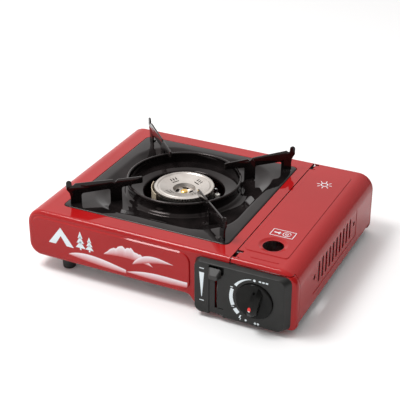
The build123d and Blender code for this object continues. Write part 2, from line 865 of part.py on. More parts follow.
# ---- cartridge cradle: a curved trough on two legs ----
cradle_y0 = front_y + 68.0
cradle_y1 = back_y - 62.0
cradle_radius = can_radius + 0.4
cradle_half_angle = 40.0
cradle_start = 270 - cradle_half_angle
with BuildPart() as cartridge_cradle:
    with BuildSketch(front_plane(cradle_y1)):
        with BuildLine():
            inside = CenterArc((can_x, can_z), cradle_radius, cradle_start, 2 * cradle_half_angle)
            outside = CenterArc((can_x, can_z), cradle_radius + 1, cradle_start, 2 * cradle_half_angle)
            Line(inside @ 0, outside @ 0)
            Line(inside @ 1, outside @ 1)
        make_face()
    extrude(amount=cradle_y1 - cradle_y0)
    for side in (-1, 1):
        leg_x = can_x + side * (cradle_radius + 0.5) * sin(radians(cradle_half_angle))
        leg_top = can_z - (cradle_radius + 0.5) * cos(radians(cradle_half_angle))
        add(span_box(leg_x - 0.5, leg_x + 0.5, cradle_y0, cradle_y1, floor_top, leg_top))
        foot_x0, foot_x1 = sorted((leg_x, leg_x + side * 8))
        add(span_box(foot_x0, foot_x1, cradle_y0, cradle_y1, floor_top, floor_top + 1))
cartridge_cradle.part.label = "cartridge_cradle"
export_step(cartridge_cradle.part, "parts/cartridge_cradle.step")

# ---- cartridge pusher: slides forward when its slanted slot is driven by the lock pin ----
pusher_x = divider_x + sheet + 1.2
pusher_thick = 1.2
strip_z0 = 27.0
strip_z1 = 41.0
cam_plate_y0 = front_y + 9.5
cam_plate_y1 = front_y + 28.0
cam_plate_ends = 11.0       # plate beyond the pin's stroke, which clears the gas pipe below
push_plate_y = can_front_y + can_length + push_travel
slot_clear = lock_pin_radius + gap
low_pin_y = lock_pin_y + push_travel
low_pin_z = lock_pin_z - lock_travel
slot_lean = degrees(atan2(push_travel, lock_travel))
slot_run = sqrt(push_travel**2 + lock_travel**2)
cam_slot_middle = ((lock_pin_y + low_pin_y) / 2, (lock_pin_z + low_pin_z) / 2)
with BuildPart() as cartridge_pusher:
    with BuildSketch(side_plane(pusher_x)):
        with Locations(((cam_plate_y0 + cam_plate_y1) / 2, (low_pin_z + lock_pin_z) / 2)):
            Rectangle(cam_plate_y1 - cam_plate_y0, lock_travel + cam_plate_ends)
        with Locations(((cam_plate_y1 + push_plate_y) / 2, (strip_z0 + strip_z1) / 2)):
            Rectangle(push_plate_y - cam_plate_y1, strip_z1 - strip_z0)
        with Locations(Location(cam_slot_middle, 90 + slot_lean)):
            SlotOverall(slot_run + 2 * slot_clear, 2 * slot_clear, mode=Mode.SUBTRACT)
    extrude(amount=pusher_thick)
    add(
        span_box(
            pusher_x,
            can_x + 14,
            push_plate_y,
            push_plate_y + pusher_thick,
            strip_z0,
            strip_z1 + 10,
        )
    )
cartridge_pusher.part.label = "cartridge_pusher"
export_step(cartridge_pusher.part, "parts/cartridge_pusher.step")

# ---- guides that hold the pusher's strip to the divider ----
guide_y = (front_y + 90.0, back_y - 60.0)
with BuildPart() as pusher_guides:
    for y in guide_y:
        outer_guide = span_box(
            divider_x + sheet, pusher_x + pusher_thick + 1.6, y - 6, y + 6, strip_z0 - 1.8, strip_z1 + 1.8
        )
        guide_way = span_box(
            divider_x + sheet, pusher_x + pusher_thick + 0.4, y - 7, y + 7, strip_z0 - gap, strip_z1 + gap
        )
        add(outer_guide - guide_way)
pusher_guides.part.label = "pusher_guides"
export_step(pusher_guides.part, "parts/pusher_guides.step")

# ---- slide stem: reaches through the front wall and carries the lock pin ----
with BuildPart() as slide_stem:
    add(
        span_box(
            stem_x - stem_thick / 2,
            stem_x + stem_thick / 2,
            panel_face_y - 3,
            lock_pin_y + 4,
            lock_pin_z - 3,
            lock_pin_z + 3,
        )
    )
    with BuildSketch(side_plane(stem_x + stem_thick / 2)):
        with Locations((lock_pin_y, lock_pin_z)):
            Circle(lock_pin_radius)
    extrude(amount=pusher_x + pusher_thick + 1.5 - stem_x - stem_thick / 2)
slide_stem.part.label = "slide_stem"
export_step(slide_stem.part, "parts/slide_stem.step")

# ---- slide button: a thumb piece with a sloping top ----
button_back_y = panel_face_y - gap
with BuildPart() as slide_button:
    with BuildSketch(front_plane(button_back_y)):
        with Locations((stem_x - 1.0, lock_pin_z + 2)):
            RectangleRounded(15, 12, 1.8)
    with BuildSketch(front_plane(button_back_y - 6.5)):
        with Locations((stem_x - 0.6, lock_pin_z - 0.5)):
            RectangleRounded(10, 5, 1.8)
    loft()
    fillet(slide_button.faces().sort_by(Axis.Y)[0].edges(), radius=0.5)
    add(
        span_box(
            stem_x - stem_thick / 2,
            stem_x + stem_thick / 2,
            panel_face_y - 3,
            panel_face_y + 1,
            lock_pin_z - 3,
            lock_pin_z + 3,
        ),
        mode=Mode.SUBTRACT,
    )
slide_button.part.label = "slide_button"
export_step(slide_button.part, "parts/slide_button.step")

# ---- valve spindle, cam, knob and pointer ----
knob_front_y = panel_face_y - knob_proud
disc_back_y = panel_face_y + recess_depth - gap
disc_front_y = panel_face_y - 2.5
spindle_end_y = regulator_y0 + 13.5
pointer_angle = 190.0       # clockwise from straight up, seen from the front
with BuildPart() as valve_spindle:
    with BuildSketch(front_plane(spindle_end_y)):
        with Locations((knob_x, knob_z)):
            Circle(spindle_radius)
    extrude(amount=spindle_end_y - (disc_front_y - 6))
valve_spindle.part.label = "valve_spindle"
export_step(valve_spindle.part, "parts/valve_spindle.step")

cam_y0 = front_y + 2.0
cam_y1 = front_y + 8.0
lobe_radius = 13.0
lobe_angle = 98.0           # from +X towards +Z, at rest
with BuildPart() as igniter_cam:
    with BuildSketch(front_plane(cam_y1)):
        with Locations((knob_x, knob_z)):
            Circle(6.5)
        with Locations(Location((knob_x, knob_z), lobe_angle)):
            with Locations((lobe_radius / 2, 0)):
                RectangleRounded(lobe_radius, 5, 1)
        with Locations((knob_x, knob_z)):
            Circle(spindle_radius, mode=Mode.SUBTRACT)
    extrude(amount=cam_y1 - cam_y0)
igniter_cam.part.label = "igniter_cam"
export_step(igniter_cam.part, "parts/igniter_cam.step")

fin_half = knob_radius - 0.8
fin_height = disc_front_y - knob_front_y
fin_base = 5.0              # how far the fin's form runs back into the disc
fin_ridge = 4.6
fin_flank = 5.2
pointer_depth = 1.0
pointer_reach = 4.0         # from the knob's axis to the pointer's middle
pointer_size = (7.0, 3.6)
pointer_turn = 90.0 - pointer_angle
fin_along = (cos(radians(pointer_turn)), 0, sin(radians(pointer_turn)))
fin_plane = Plane(
    origin=(knob_x, disc_front_y, knob_z),
    x_dir=fin_along,
    z_dir=(fin_along[2], 0, -fin_along[0]),
)


def knob_fin(sink):
    """The half-moon fin, whole, moved back into the disc by sink."""
    with BuildPart() as form:
        for side in (-1, 1):
            with BuildSketch(fin_plane):
                with BuildLine():
                    Polyline((fin_half, 0), (fin_half, -fin_base), (-fin_half, -fin_base), (-fin_half, 0))
                    ThreePointArc((-fin_half, 0), (0, fin_height), (fin_half, 0))
                make_face()
            extrude(amount=side * fin_ridge / 2)
            with BuildSketch(fin_plane.offset(side * fin_ridge / 2)):
                with BuildLine():
                    Polyline((fin_half, 0), (fin_half, -fin_base), (-fin_half, -fin_base), (-fin_half, 0))
                    ThreePointArc((-fin_half, 0), (0, fin_height), (fin_half, 0))
                make_face()
            extrude(amount=side * fin_flank, taper=38)
    return form.part.moved(Location((0, sink, 0)))


with BuildPart() as pointer_prism:
    with BuildSketch(front_plane(disc_front_y)):
        with Locations(Location((knob_x, knob_z), pointer_turn)):
            with Locations((pointer_reach, 0)):
                Ellipse(pointer_size[0] / 2, pointer_size[1] / 2)
    extrude(amount=fin_height + 1)
whole_fin = knob_fin(0)
pointer_form = (whole_fin & pointer_prism.part) - knob_fin(pointer_depth)

with BuildPart() as control_knob:
    with BuildSketch(front_plane(disc_back_y)):
        with Locations((knob_x, knob_z)):
            Circle(knob_radius)
    extrude(amount=disc_back_y - disc_front_y)
    fillet(control_knob.faces().sort_by(Axis.Y)[0].edges(), radius=1.2)
    add(
        whole_fin
        & span_box(
            knob_x - knob_radius,
            knob_x + knob_radius,
            knob_front_y - 1,
            disc_front_y + 0.5,
            knob_z - knob_radius,
            knob_z + knob_radius,
        )
    )
    with BuildSketch(front_plane(disc_back_y + 1)):
        with Locations((knob_x, knob_z)):
            Circle(spindle_radius)
    extrude(amount=disc_back_y + 1 - (disc_front_y - 6), mode=Mode.SUBTRACT)
    add(pointer_form, mode=Mode.SUBTRACT)
    # a small dimple near the other end of the ridge
    with BuildSketch(front_plane(disc_front_y - 4)):
        with Locations(Location((knob_x, knob_z), pointer_turn)):
            with Locations((5.5 - fin_half, 0)):
                Circle(1.4)
    extrude(amount=10, mode=Mode.SUBTRACT)
control_knob.part.label = "control_knob"
export_step(control_knob.part, "parts/control_knob.step")

pointer_form.label = "knob_pointer"
export_step(pointer_form, "parts/knob_pointer.step")

# ---- piezo igniter with its plunger and spring ----
piezo_z = knob_z + 13.5
piezo_y = (cam_y0 + cam_y1) / 2
piezo_radius = 4.0
plunger_radius = 2.0
piezo_x1 = knob_x - 12.5
piezo_x0 = piezo_x1 - 24.0
plunger_tip_x = knob_x - 6.0
plunger_tail_x = piezo_x1 - 9.0
spring_room_x = piezo_x0 + 5.0
with BuildPart() as piezo_igniter:
    with BuildSketch(side_plane(piezo_x0)):
        with Locations((piezo_y, piezo_z)):
            Circle(piezo_radius)
    extrude(amount=piezo_x1 - piezo_x0)
    fillet(piezo_igniter.faces().sort_by(Axis.X)[0].edges(), radius=0.8)
    with BuildSketch(side_plane(spring_room_x)):
        with Locations((piezo_y, piezo_z)):
            Circle(plunger_radius + running)
    extrude(amount=40, mode=Mode.SUBTRACT)
piezo_igniter.part.label = "piezo_igniter"
export_step(piezo_igniter.part, "parts/piezo_igniter.step")

with BuildPart() as igniter_plunger:
    with BuildSketch(side_plane(plunger_tail_x)):
        with Locations((piezo_y, piezo_z)):
            Circle(plunger_radius)
    extrude(amount=plunger_tip_x - plunger_tail_x)
    fillet(igniter_plunger.faces().sort_by(Axis.X)[-1].edges(), radius=0.6)
igniter_plunger.part.label = "igniter_plunger"
export_step(igniter_plunger.part, "parts/igniter_plunger.step")

coil_radius = 1.4
coil_wire = 0.25
coil_x0 = spring_room_x + coil_wire + 0.05
coil_x1 = plunger_tail_x - coil_wire - 0.05
with BuildPart() as plunger_spring:
    with BuildLine():
        coil = Helix(
            pitch=(coil_x1 - coil_x0) / 6,
            height=coil_x1 - coil_x0,
            radius=coil_radius,
            center=(coil_x0, piezo_y, piezo_z),
            direction=(1, 0, 0),
        )
    with BuildSketch(Plane(origin=coil @ 0, z_dir=coil % 0)):
        Circle(coil_wire)
    sweep()
plunger_spring.part.label = "plunger_spring"
export_step(plunger_spring.part, "parts/plunger_spring.step")

# ---- ignition wire and electrode ----
electrode_reach = bowl_radius + 4.0
electrode_angle = radians(18.0)
electrode_x = burner_x + electrode_reach * cos(electrode_angle)
electrode_y = mid_y + electrode_reach * sin(electrode_angle)
electrode_radius = 3.2
electrode_low_z = top_z - 24.0
electrode_top_z = top_z - 8.0
wire_turn_x = divider_x - 7.0
wire_low_z = electrode_low_z - 10.0
with BuildPart() as ignition_wire:
    with BuildLine():
        FilletPolyline(
            (piezo_x0, piezo_y, piezo_z),
            (piezo_x0 - 2.6, piezo_y, piezo_z),
            (piezo_x0 - 2.6, wire_y, wire_z),
            (wire_turn_x, wire_y, wire_z),
            (wire_turn_x, electrode_y - 40, wire_z),
            (wire_turn_x, electrode_y, wire_low_z),
            (electrode_x, electrode_y, wire_low_z),
            (electrode_x, electrode_y, electrode_low_z),
            radius=2.5,
        )
    with BuildSketch(side_plane(piezo_x0)):
        with Locations((piezo_y, piezo_z)):
            Circle(wire_radius)
    sweep()
ignition_wire.part.label = "ignition_wire"
export_step(ignition_wire.part, "parts/ignition_wire.step")

with BuildPart() as electrode_insulator:
    with BuildSketch(level_plane(electrode_low_z)):
        with Locations((electrode_x, electrode_y)):
            Circle(electrode_radius)
    extrude(amount=electrode_top_z - electrode_low_z)
    fillet(electrode_insulator.faces().sort_by(Axis.Z)[-1].edges(), radius=0.9)
    with BuildSketch(level_plane(electrode_top_z - 9)):
        with Locations((electrode_x, electrode_y)):
            Circle(0.8)
    extrude(amount=10, mode=Mode.SUBTRACT)
electrode_insulator.part.label = "electrode_insulator"
export_step(electrode_insulator.part, "parts/electrode_insulator.step")

pin_tip = 3.0
with BuildPart() as electrode_pin:
    with BuildLine():
        FilletPolyline(
            (electrode_x, electrode_y, electrode_top_z - 9),
            (electrode_x, electrode_y, cap_low_z - 1.5),
            (
                electrode_x - pin_tip * cos(electrode_angle),
                electrode_y - pin_tip * sin(electrode_angle),
                cap_low_z - 1.5,
            ),
            radius=1.6,
        )
    with BuildSketch(level_plane(electrode_top_z - 9)):
        with Locations((electrode_x, electrode_y)):
            Circle(0.8)
    sweep()
electrode_pin.part.label = "electrode_pin"
export_step(electrode_pin.part, "parts/electrode_pin.step")

with BuildPart() as electrode_bracket:
    with BuildSketch(level_plane(electrode_low_z + 5)):
        with Locations(Location((burner_x, mid_y), degrees(electrode_angle))):
            with Locations((electrode_reach - 0.5, 0)):
                RectangleRounded(12, 11, 2)
        with Locations((electrode_x, electrode_y)):
            Circle(electrode_radius, mode=Mode.SUBTRACT)
        with Locations((burner_x, mid_y)):
            Circle(bowl_radius, mode=Mode.SUBTRACT)
    extrude(amount=1.2)
electrode_bracket.part.label = "electrode_bracket"
export_step(electrode_bracket.part, "parts/electrode_bracket.step")

# ---- hinges: an eye bracket on the divider, a pin, and a leaf under the lid at each end ----
hinge_y = (front_y + hinge_inset, back_y - hinge_inset)
eye_gap = 5.0
eye_thick = 1.5
eye_foot = 8.0
with BuildPart() as hinge_brackets:
    for y in hinge_y:
        for side in (-1, 1):
            near = y + side * eye_gap
            far = y + side * (eye_gap + eye_thick)
            with BuildSketch(front_plane(max(near, far))):
                with BuildLine():
                    Polyline(
                        (divider_x + sheet, hinge_z - eye_foot),
                        (hinge_x + 2.4, hinge_z - 1.5),
                        (hinge_x + 2.4, hinge_z + 1.2),
                        (hinge_x + 1.2, hinge_z + 2.3),
                        (hinge_x - 1.2, hinge_z + 2.3),
                        (hinge_x - 2.5, hinge_z + 1.6),
                        (divider_x + sheet, hinge_z + 1.6),
                        close=True,
                    )
                make_face()
                with Locations((hinge_x, hinge_z)):
                    Circle(hinge_pin_radius, mode=Mode.SUBTRACT)
            extrude(amount=eye_thick)
        add(
            span_box(
                divider_x + sheet,
                divider_x + sheet + 1.5,
                y - eye_gap - eye_thick,
                y + eye_gap + eye_thick,
                hinge_z - eye_foot,
                hinge_z + 1.6,
            )
        )
hinge_brackets.part.label = "hinge_brackets"
export_step(hinge_brackets.part, "parts/hinge_brackets.step")

with BuildPart() as hinge_pins:
    for y in hinge_y:
        with BuildSketch(front_plane(y + eye_gap + eye_thick + 1)):
            with Locations((hinge_x, hinge_z)):
                Circle(hinge_pin_radius)
        extrude(amount=2 * (eye_gap + eye_thick + 1))
hinge_pins.part.label = "hinge_pins"
export_step(hinge_pins.part, "parts/hinge_pins.step")

leaf_half = eye_gap - gap
with BuildPart() as lid_hinge_leaves:
    for y in hinge_y:
        with BuildSketch(front_plane(y + leaf_half)):
            with Locations((hinge_x, hinge_z)):
                Circle(knuckle_radius)
            with Locations((hinge_x + 8.5, top_z - sheet - 0.6)):
                Rectangle(17, 1.2)
            with Locations((hinge_x, hinge_z)):
                Circle(hinge_pin_radius + running, mode=Mode.SUBTRACT)
        extrude(amount=2 * leaf_half)
lid_hinge_leaves.part.label = "lid_hinge_leaves"
export_step(lid_hinge_leaves.part, "parts/lid_hinge_leaves.step")

# ---- cartridge lid: top, right side and narrow front and back edges ----
lid_emboss = 0.8
lid_panel = (lid_edge_x + 4.7, right_x - 21.5, front_y + 24.0, back_y - 22.0)
rib_x0 = lid_edge_x + 17.0
rib_x1 = right_x - 27.0
rib_inset = 13.0
rib_height = 0.6
finger_x = right_x - 47.5
finger_y = front_y + 46.0
finger_radius = 12.0
notch_y = 8.0
slot_pitch = 11.6
vent_slots = 10
vent_width = 5.4
vent_low_z = 33.5
vent_high_z = 60.5
vent_mid_y = mid_y - 11.0
vent_mid_z = (vent_low_z + vent_high_z) / 2
vent_hole_reach = vent_slots * slot_pitch / 2 + 8.5
groove_depth = 0.4
groove_width = 2.4
groove_low_z = vent_low_z - 6.5
groove_high_z = vent_high_z + 5.5
groove_front_y = vent_mid_y - vent_hole_reach - 3
groove_rear_y = vent_mid_y + vent_hole_reach + 10
with BuildPart() as cartridge_lid:
    add(shell)
    add(
        span_box(lid_edge_x, right_x, front_y, back_y, lid_side_z, top_z),
        mode=Mode.INTERSECT,
    )
    for end_y, inner_y in ((front_y, front_y + corner_return + 0.7), (back_y, back_y - corner_return - 0.7)):
        add(
            span_box(lid_edge_x - 1, right_x + 1, min(end_y, inner_y), max(end_y, inner_y), 0, lid_front_z),
            mode=Mode.SUBTRACT,
        )
    for y in hinge_y:
        add(
            span_box(lid_edge_x - 1, hinge_x + 3, y - notch_y, y + notch_y, top_z - 3, top_z + 1),
            mode=Mode.SUBTRACT,
        )
    x0, x1, y0, y1 = lid_panel
    with BuildSketch(level_plane(top_z - sheet / 2)):
        with Locations(((x0 + x1) / 2, (y0 + y1) / 2)):
            RectangleRounded(x1 - x0, y1 - y0, 5)
    extrude(amount=lid_emboss + sheet / 2, taper=40)
    with BuildSketch(level_plane(top_z - sheet)):
        with Locations(((x0 + x1) / 2, (y0 + y1) / 2)):
            RectangleRounded(x1 - x0 - 0.6, y1 - y0 - 0.6, 4.7)
    extrude(amount=lid_emboss, taper=40, mode=Mode.SUBTRACT)
    with BuildSketch(spin_plane(finger_x, finger_y)):
        with BuildLine():
            Polyline(
                (finger_radius + 4.5, top_z + lid_emboss),
                (finger_radius + 1.0, top_z - 0.8),
                (finger_radius - 1.0, top_z - 0.8),
                (finger_radius - 1.0, top_z - 0.8 - sheet),
                (finger_radius + 1.3, top_z - 0.8 - sheet),
                (finger_radius + 4.9, top_z + lid_emboss - sheet),
                (finger_radius + 5.5, top_z + lid_emboss - sheet),
                (finger_radius + 5.5, top_z + lid_emboss),
                close=True,
            )
        make_face()
    revolve(axis=Axis((finger_x, finger_y, 0), (0, 0, 1)))
    with BuildSketch(spin_plane(finger_x, finger_y)):
        with BuildLine():
            Polyline(
                (0, top_z - 4),
                (finger_radius, top_z - 4),
                (finger_radius, top_z - 0.8),
                (finger_radius + 1.0, top_z - 0.8),
                (finger_radius + 4.5, top_z + lid_emboss),
                (finger_radius + 4.5, top_z + 4),
                (0, top_z + 4),
                close=True,
            )
        make_face()
    revolve(axis=Axis((finger_x, finger_y, 0), (0, 0, 1)), mode=Mode.SUBTRACT)
    with BuildSketch(side_plane(right_x - 12)):
        with Locations((vent_mid_y, vent_mid_z)):
            with GridLocations(slot_pitch, 1, vent_slots, 1):
                SlotOverall(vent_high_z - vent_low_z, vent_width, rotation=90)
            with GridLocations(2 * vent_hole_reach, 1, 2, 1):
                Circle(3.2)
    extrude(amount=14, mode=Mode.SUBTRACT)
    # a pressed groove under the vents that turns up behind them
    with BuildSketch(side_plane(right_x - groove_depth)):
        with Locations(((groove_front_y + groove_rear_y) / 2, groove_low_z)):
            SlotOverall(groove_rear_y - groove_front_y, groove_width)
        with Locations((groove_rear_y - groove_width / 2, (groove_low_z + groove_high_z) / 2)):
            SlotOverall(groove_high_z - groove_low_z + groove_width, groove_width, rotation=90)
    extrude(amount=2, mode=Mode.SUBTRACT)
    # a stiffening rib along the front edge
    with BuildSketch(level_plane(top_z - sheet / 2)):
        with Locations(((rib_x0 + rib_x1) / 2, front_y + rib_inset)):
            SlotOverall(rib_x1 - rib_x0, 3.2)
    extrude(amount=sheet / 2 + rib_height, taper=40)
cartridge_lid.part.label = "cartridge_lid"
export_step(cartridge_lid.part, "parts/cartridge_lid.step")


# ---- drip tray: flat border, shallow basin, raised middle with a collar round the burner ----
def basin_form(drop):
    """The space inside the basin's slopes, lowered by drop."""
    with BuildPart() as form:
        with BuildSketch(level_plane(tray_top_z - drop)):
            with Locations((burner_x, mid_y)):
                RectangleRounded(2 * crease_half, 2 * crease_half, crease_radius)
        with BuildSketch(level_plane(basin_z - drop)):
            with Locations((burner_x, mid_y)):
                RectangleRounded(2 * basin_half, 2 * basin_half, basin_radius)
        loft(ruled=True)
    return form.part


basin_space = basin_form(0)
basin_skin = basin_form(tray_sheet)
tray_half = tray_size / 2
land_radius = ring_radius + 1.2
hill = [
    (ring_radius + 8.0, basin_z),
    (ring_radius + 4.0, basin_z + 1.0),
    (land_radius, ring_foot_z),
    (ring_radius - 2.0, ring_foot_z),
    (collar_radius + 1.0, ring_foot_z - 2.6),
    (collar_radius, ring_foot_z - 3.6),
    (collar_radius, ring_foot_z - 8.0),
    (collar_radius + tray_sheet, ring_foot_z - 8.0),
    (collar_radius + tray_sheet, ring_foot_z - 4.0),
    (ring_radius - 2.0, ring_foot_z - tray_sheet),
    (land_radius - 0.8, ring_foot_z - tray_sheet),
    (ring_radius + 3.2, basin_z),
    (ring_radius + 3.2, basin_z - tray_sheet),
    (ring_radius + 8.0, basin_z - tray_sheet),
]
with BuildPart() as drip_tray:
    with BuildSketch(level_plane(tray_top_z - tray_sheet)):
        with Locations((burner_x, mid_y)):
            RectangleRounded(tray_size, tray_size, 6)
    extrude(amount=tray_sheet)
    fillet(drip_tray.faces().sort_by(Axis.Z)[-1].edges(), radius=0.9)
    with BuildSketch(level_plane(tray_top_z - tray_skirt)):
        with Locations((burner_x, mid_y)):
            RectangleRounded(tray_size, tray_size, 6)
            RectangleRounded(tray_size - 2 * tray_sheet, tray_size - 2 * tray_sheet, 5, mode=Mode.SUBTRACT)
    extrude(amount=tray_skirt - tray_sheet)
    add(basin_skin)
    add(basin_space, mode=Mode.SUBTRACT)
    with BuildSketch(level_plane(basin_z - 10)):
        with Locations((burner_x, mid_y)):
            Circle(ring_radius + 7.0)
    extrude(amount=20, mode=Mode.SUBTRACT)
    with BuildSketch(spin_plane(burner_x, mid_y)):
        with BuildLine():
            Polyline(*hill, close=True)
        make_face()
    revolve(axis=burner_axis)
drip_tray.part.label = "drip_tray"
export_step(drip_tray.part, "parts/drip_tray.step")

# ---- wind ring: a strip with a rolled rim, standing on the raised middle ----
ring_wall = 1.0
with BuildPart() as wind_ring:
    with BuildSketch(spin_plane(burner_x, mid_y)):
        with Locations((ring_radius, (ring_foot_z + ring_top_z - ring_bead) / 2)):
            Rectangle(ring_wall, ring_top_z - ring_bead - ring_foot_z)
        with Locations((ring_radius, ring_top_z - ring_bead)):
            Circle(ring_bead)
    revolve(axis=burner_axis)
wind_ring.part.label = "wind_ring"
export_step(wind_ring.part, "parts/wind_ring.step")

# ---- four arms: upright plates along the diagonals ----
arm_thick = 2.0
arm_tip_z = top_z + 30.6
corner_reach = tray_size / sqrt(2)
tip_reach = corner_reach - 7.7
tip_radius = 3.2
basin_reach = sqrt(2) * (basin_half - basin_radius) + basin_radius
outer_leg = (corner_reach - 22.2, corner_reach - 8.8)
middle_leg = (ring_radius + 10.1, min(ring_radius + 24.2, basin_reach - 4.4))
inner_end = ring_radius - 15.8
beam_low_z = top_z + 12.4
beam_inner_z = ring_top_z + 0.7
beam_top_out = top_z + 26.0
beam_top_in = top_z + 21.8
veedrop = 3.3
vee_reach = ring_radius + 17.5
beam_end = tip_reach - 7.7
ring_out = ring_radius + ring_bead + 0.1
ring_in = ring_radius - ring_bead - 0.1
foot_tab = 7.0


def beam_top(reach):
    """Height of the arm's top edge at a distance from the burner."""
    share = (reach - inner_end) / (beam_end - inner_end)
    return beam_top_in + share * (beam_top_out - beam_top_in)


arm_outline = [
    (outer_leg[0], tray_top_z),
    (outer_leg[1], tray_top_z),
    (outer_leg[1] - 0.4, top_z + 9),
    (outer_leg[1] + 0.8, top_z + 15),
    (tip_reach + tip_radius, top_z + 20),
    (tip_reach + tip_radius, arm_tip_z),
    (tip_reach - tip_radius, arm_tip_z),
    (tip_reach - tip_radius - 0.4, top_z + 23.8),
    (beam_end + 2.4, top_z + 23.8),
    (beam_end, beam_top_out),
    (vee_reach + 3.2, beam_top(vee_reach + 3.2)),
    (vee_reach, beam_top(vee_reach) - veedrop),
    (vee_reach - 3.2, beam_top(vee_reach - 3.2) - 0.3),
    (inner_end, beam_top_in),
    (inner_end, beam_inner_z),
    (ring_in, beam_inner_z),
    (ring_in, ring_top_z),
    (ring_out, ring_top_z),
    (ring_out, beam_low_z),
    (middle_leg[0], beam_low_z),
    (middle_leg[0], basin_z),
    (middle_leg[1], basin_z),
    (middle_leg[1], beam_low_z),
    (outer_leg[0], beam_low_z),
]
arm_radii = [0, 0, 6, 5, 2.5, 3.1, 3.1, 0.6, 1.2, 1.2, 1, 1, 1, 1.5, 1.5, 0, 0, 0, 0, 2.5, 0, 0, 3, 3]
arms = {
    "pan_arm_rear_right": 45,
    "pan_arm_rear_left": 135,
    "pan_arm_front_left": 225,
    "pan_arm_front_right": 315,
}
tab_thick = 1.2
tab_places = ((middle_leg, basin_z), (outer_leg, tray_top_z))
for node, turn in arms.items():
    along = (cos(radians(turn)), sin(radians(turn)), 0)
    across = (sin(radians(turn)), -cos(radians(turn)), 0)
    arm_plane = Plane(origin=(burner_x, mid_y, 0), x_dir=along, z_dir=across)
    with BuildPart() as arm:
        with BuildSketch(arm_plane.offset(-arm_thick / 2)):
            with BuildLine():
                FilletPolyline(*arm_outline, radius=arm_radii, close=True)
            make_face()
        extrude(amount=arm_thick)
        for (inner, outer), z in tab_places:
            with BuildSketch(arm_plane):
                with Locations(((inner + outer) / 2, z + tab_thick / 2)):
                    Rectangle(outer - inner - 3, tab_thick)
            extrude(amount=foot_tab)
    arm.part.label = node
    export_step(arm.part, f"parts/{node}.step")

with BuildPart() as arm_rivets:
    for turn in arms.values():
        for (inner, outer), z in tab_places:
            reach = (inner + outer) / 2
            side = foot_tab / 2 + 0.6
            x = burner_x + reach * cos(radians(turn)) + side * sin(radians(turn))
            y = mid_y + reach * sin(radians(turn)) - side * cos(radians(turn))
            with BuildSketch(level_plane(z + tab_thick)):
                with Locations((x, y)):
                    Circle(1.9)
            extrude(amount=0.9, taper=25)
arm_rivets.part.label = "arm_rivets"
export_step(arm_rivets.part, "parts/arm_rivets.step")
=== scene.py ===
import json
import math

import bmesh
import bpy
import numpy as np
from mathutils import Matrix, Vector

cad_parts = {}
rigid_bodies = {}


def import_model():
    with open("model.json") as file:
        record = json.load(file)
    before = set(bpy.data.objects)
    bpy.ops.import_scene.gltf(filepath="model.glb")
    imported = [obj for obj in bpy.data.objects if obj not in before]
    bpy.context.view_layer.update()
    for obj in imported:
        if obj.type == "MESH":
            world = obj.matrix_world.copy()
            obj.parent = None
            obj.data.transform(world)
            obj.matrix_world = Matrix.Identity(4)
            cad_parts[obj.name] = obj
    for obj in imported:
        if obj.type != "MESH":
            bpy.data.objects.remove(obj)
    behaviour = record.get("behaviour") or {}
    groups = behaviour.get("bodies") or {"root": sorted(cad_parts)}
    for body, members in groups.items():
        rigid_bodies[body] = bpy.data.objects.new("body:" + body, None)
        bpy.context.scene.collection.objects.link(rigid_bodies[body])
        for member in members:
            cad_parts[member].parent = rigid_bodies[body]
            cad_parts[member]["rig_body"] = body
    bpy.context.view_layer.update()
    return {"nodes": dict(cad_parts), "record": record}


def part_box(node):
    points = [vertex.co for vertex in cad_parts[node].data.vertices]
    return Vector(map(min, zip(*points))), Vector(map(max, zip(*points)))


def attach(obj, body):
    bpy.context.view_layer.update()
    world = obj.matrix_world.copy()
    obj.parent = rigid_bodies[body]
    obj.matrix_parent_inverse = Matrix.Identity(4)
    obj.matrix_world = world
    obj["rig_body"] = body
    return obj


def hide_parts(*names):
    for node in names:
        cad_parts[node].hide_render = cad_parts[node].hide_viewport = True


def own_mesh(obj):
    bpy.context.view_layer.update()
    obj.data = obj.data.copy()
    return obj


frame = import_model()

# %% [markdown]
# # A one-burner camp stove
# The stove is a red lacquered steel case with a black enamelled drip tray, a pressed burner
# cap, four pan arms and a black control panel. Its working parts arrive as finished CAD nodes.
# This lesson gives them their finishes, redraws the parts whose soft pressed curves a CAD
# model only hints at, and prints the white markings.

MM = 0.001
nodes = frame["nodes"]


def middle(node):
    """The middle of a CAD node's box, as a numpy point."""
    low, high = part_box(node)
    return (np.array(low) + np.array(high)) / 2


burner = middle("burner_cap")
knob = middle("control_knob")
case_low, case_high = (np.array(corner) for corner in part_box("main_case"))
print("the stove is", [round(v / MM, 1) for v in case_high - case_low], "mm without its panel")

# %% [markdown]
# ## Camera
# A long lens from well back keeps the sides of a product nearly parallel. It stands to the
# right of the stove and looks down on it, so the lid, the panel and the burner all show.

# %% Camera
CAMERA_PLACE = Vector((0.5055, -1.0497, 0.6973))
CAMERA_AIM = Vector((-0.0072, 0.0105, 0.0645))
LENS = 99.3

lens_data = bpy.data.cameras.new("camera")
lens_data.lens = LENS
lens_data.sensor_width = 36.0
camera = bpy.data.objects.new("camera", lens_data)
bpy.context.scene.collection.objects.link(camera)
camera.location = CAMERA_PLACE
camera.rotation_euler = (CAMERA_AIM - CAMERA_PLACE).to_track_quat("-Z", "Y").to_euler()
bpy.context.scene.camera = camera
bpy.context.scene.view_settings.view_transform = "Standard"
print("the camera stands", round((CAMERA_AIM - CAMERA_PLACE).length, 3), "m from the stove")

# %% [markdown]
# ## Surfaces from arrays
# Every new piece below is a grid of points: one array index runs along the piece and the
# other round it. The faces are the cells of that grid, so one small function makes them all.
# Points are worked out for the whole grid at once, which is quick and keeps the code short.


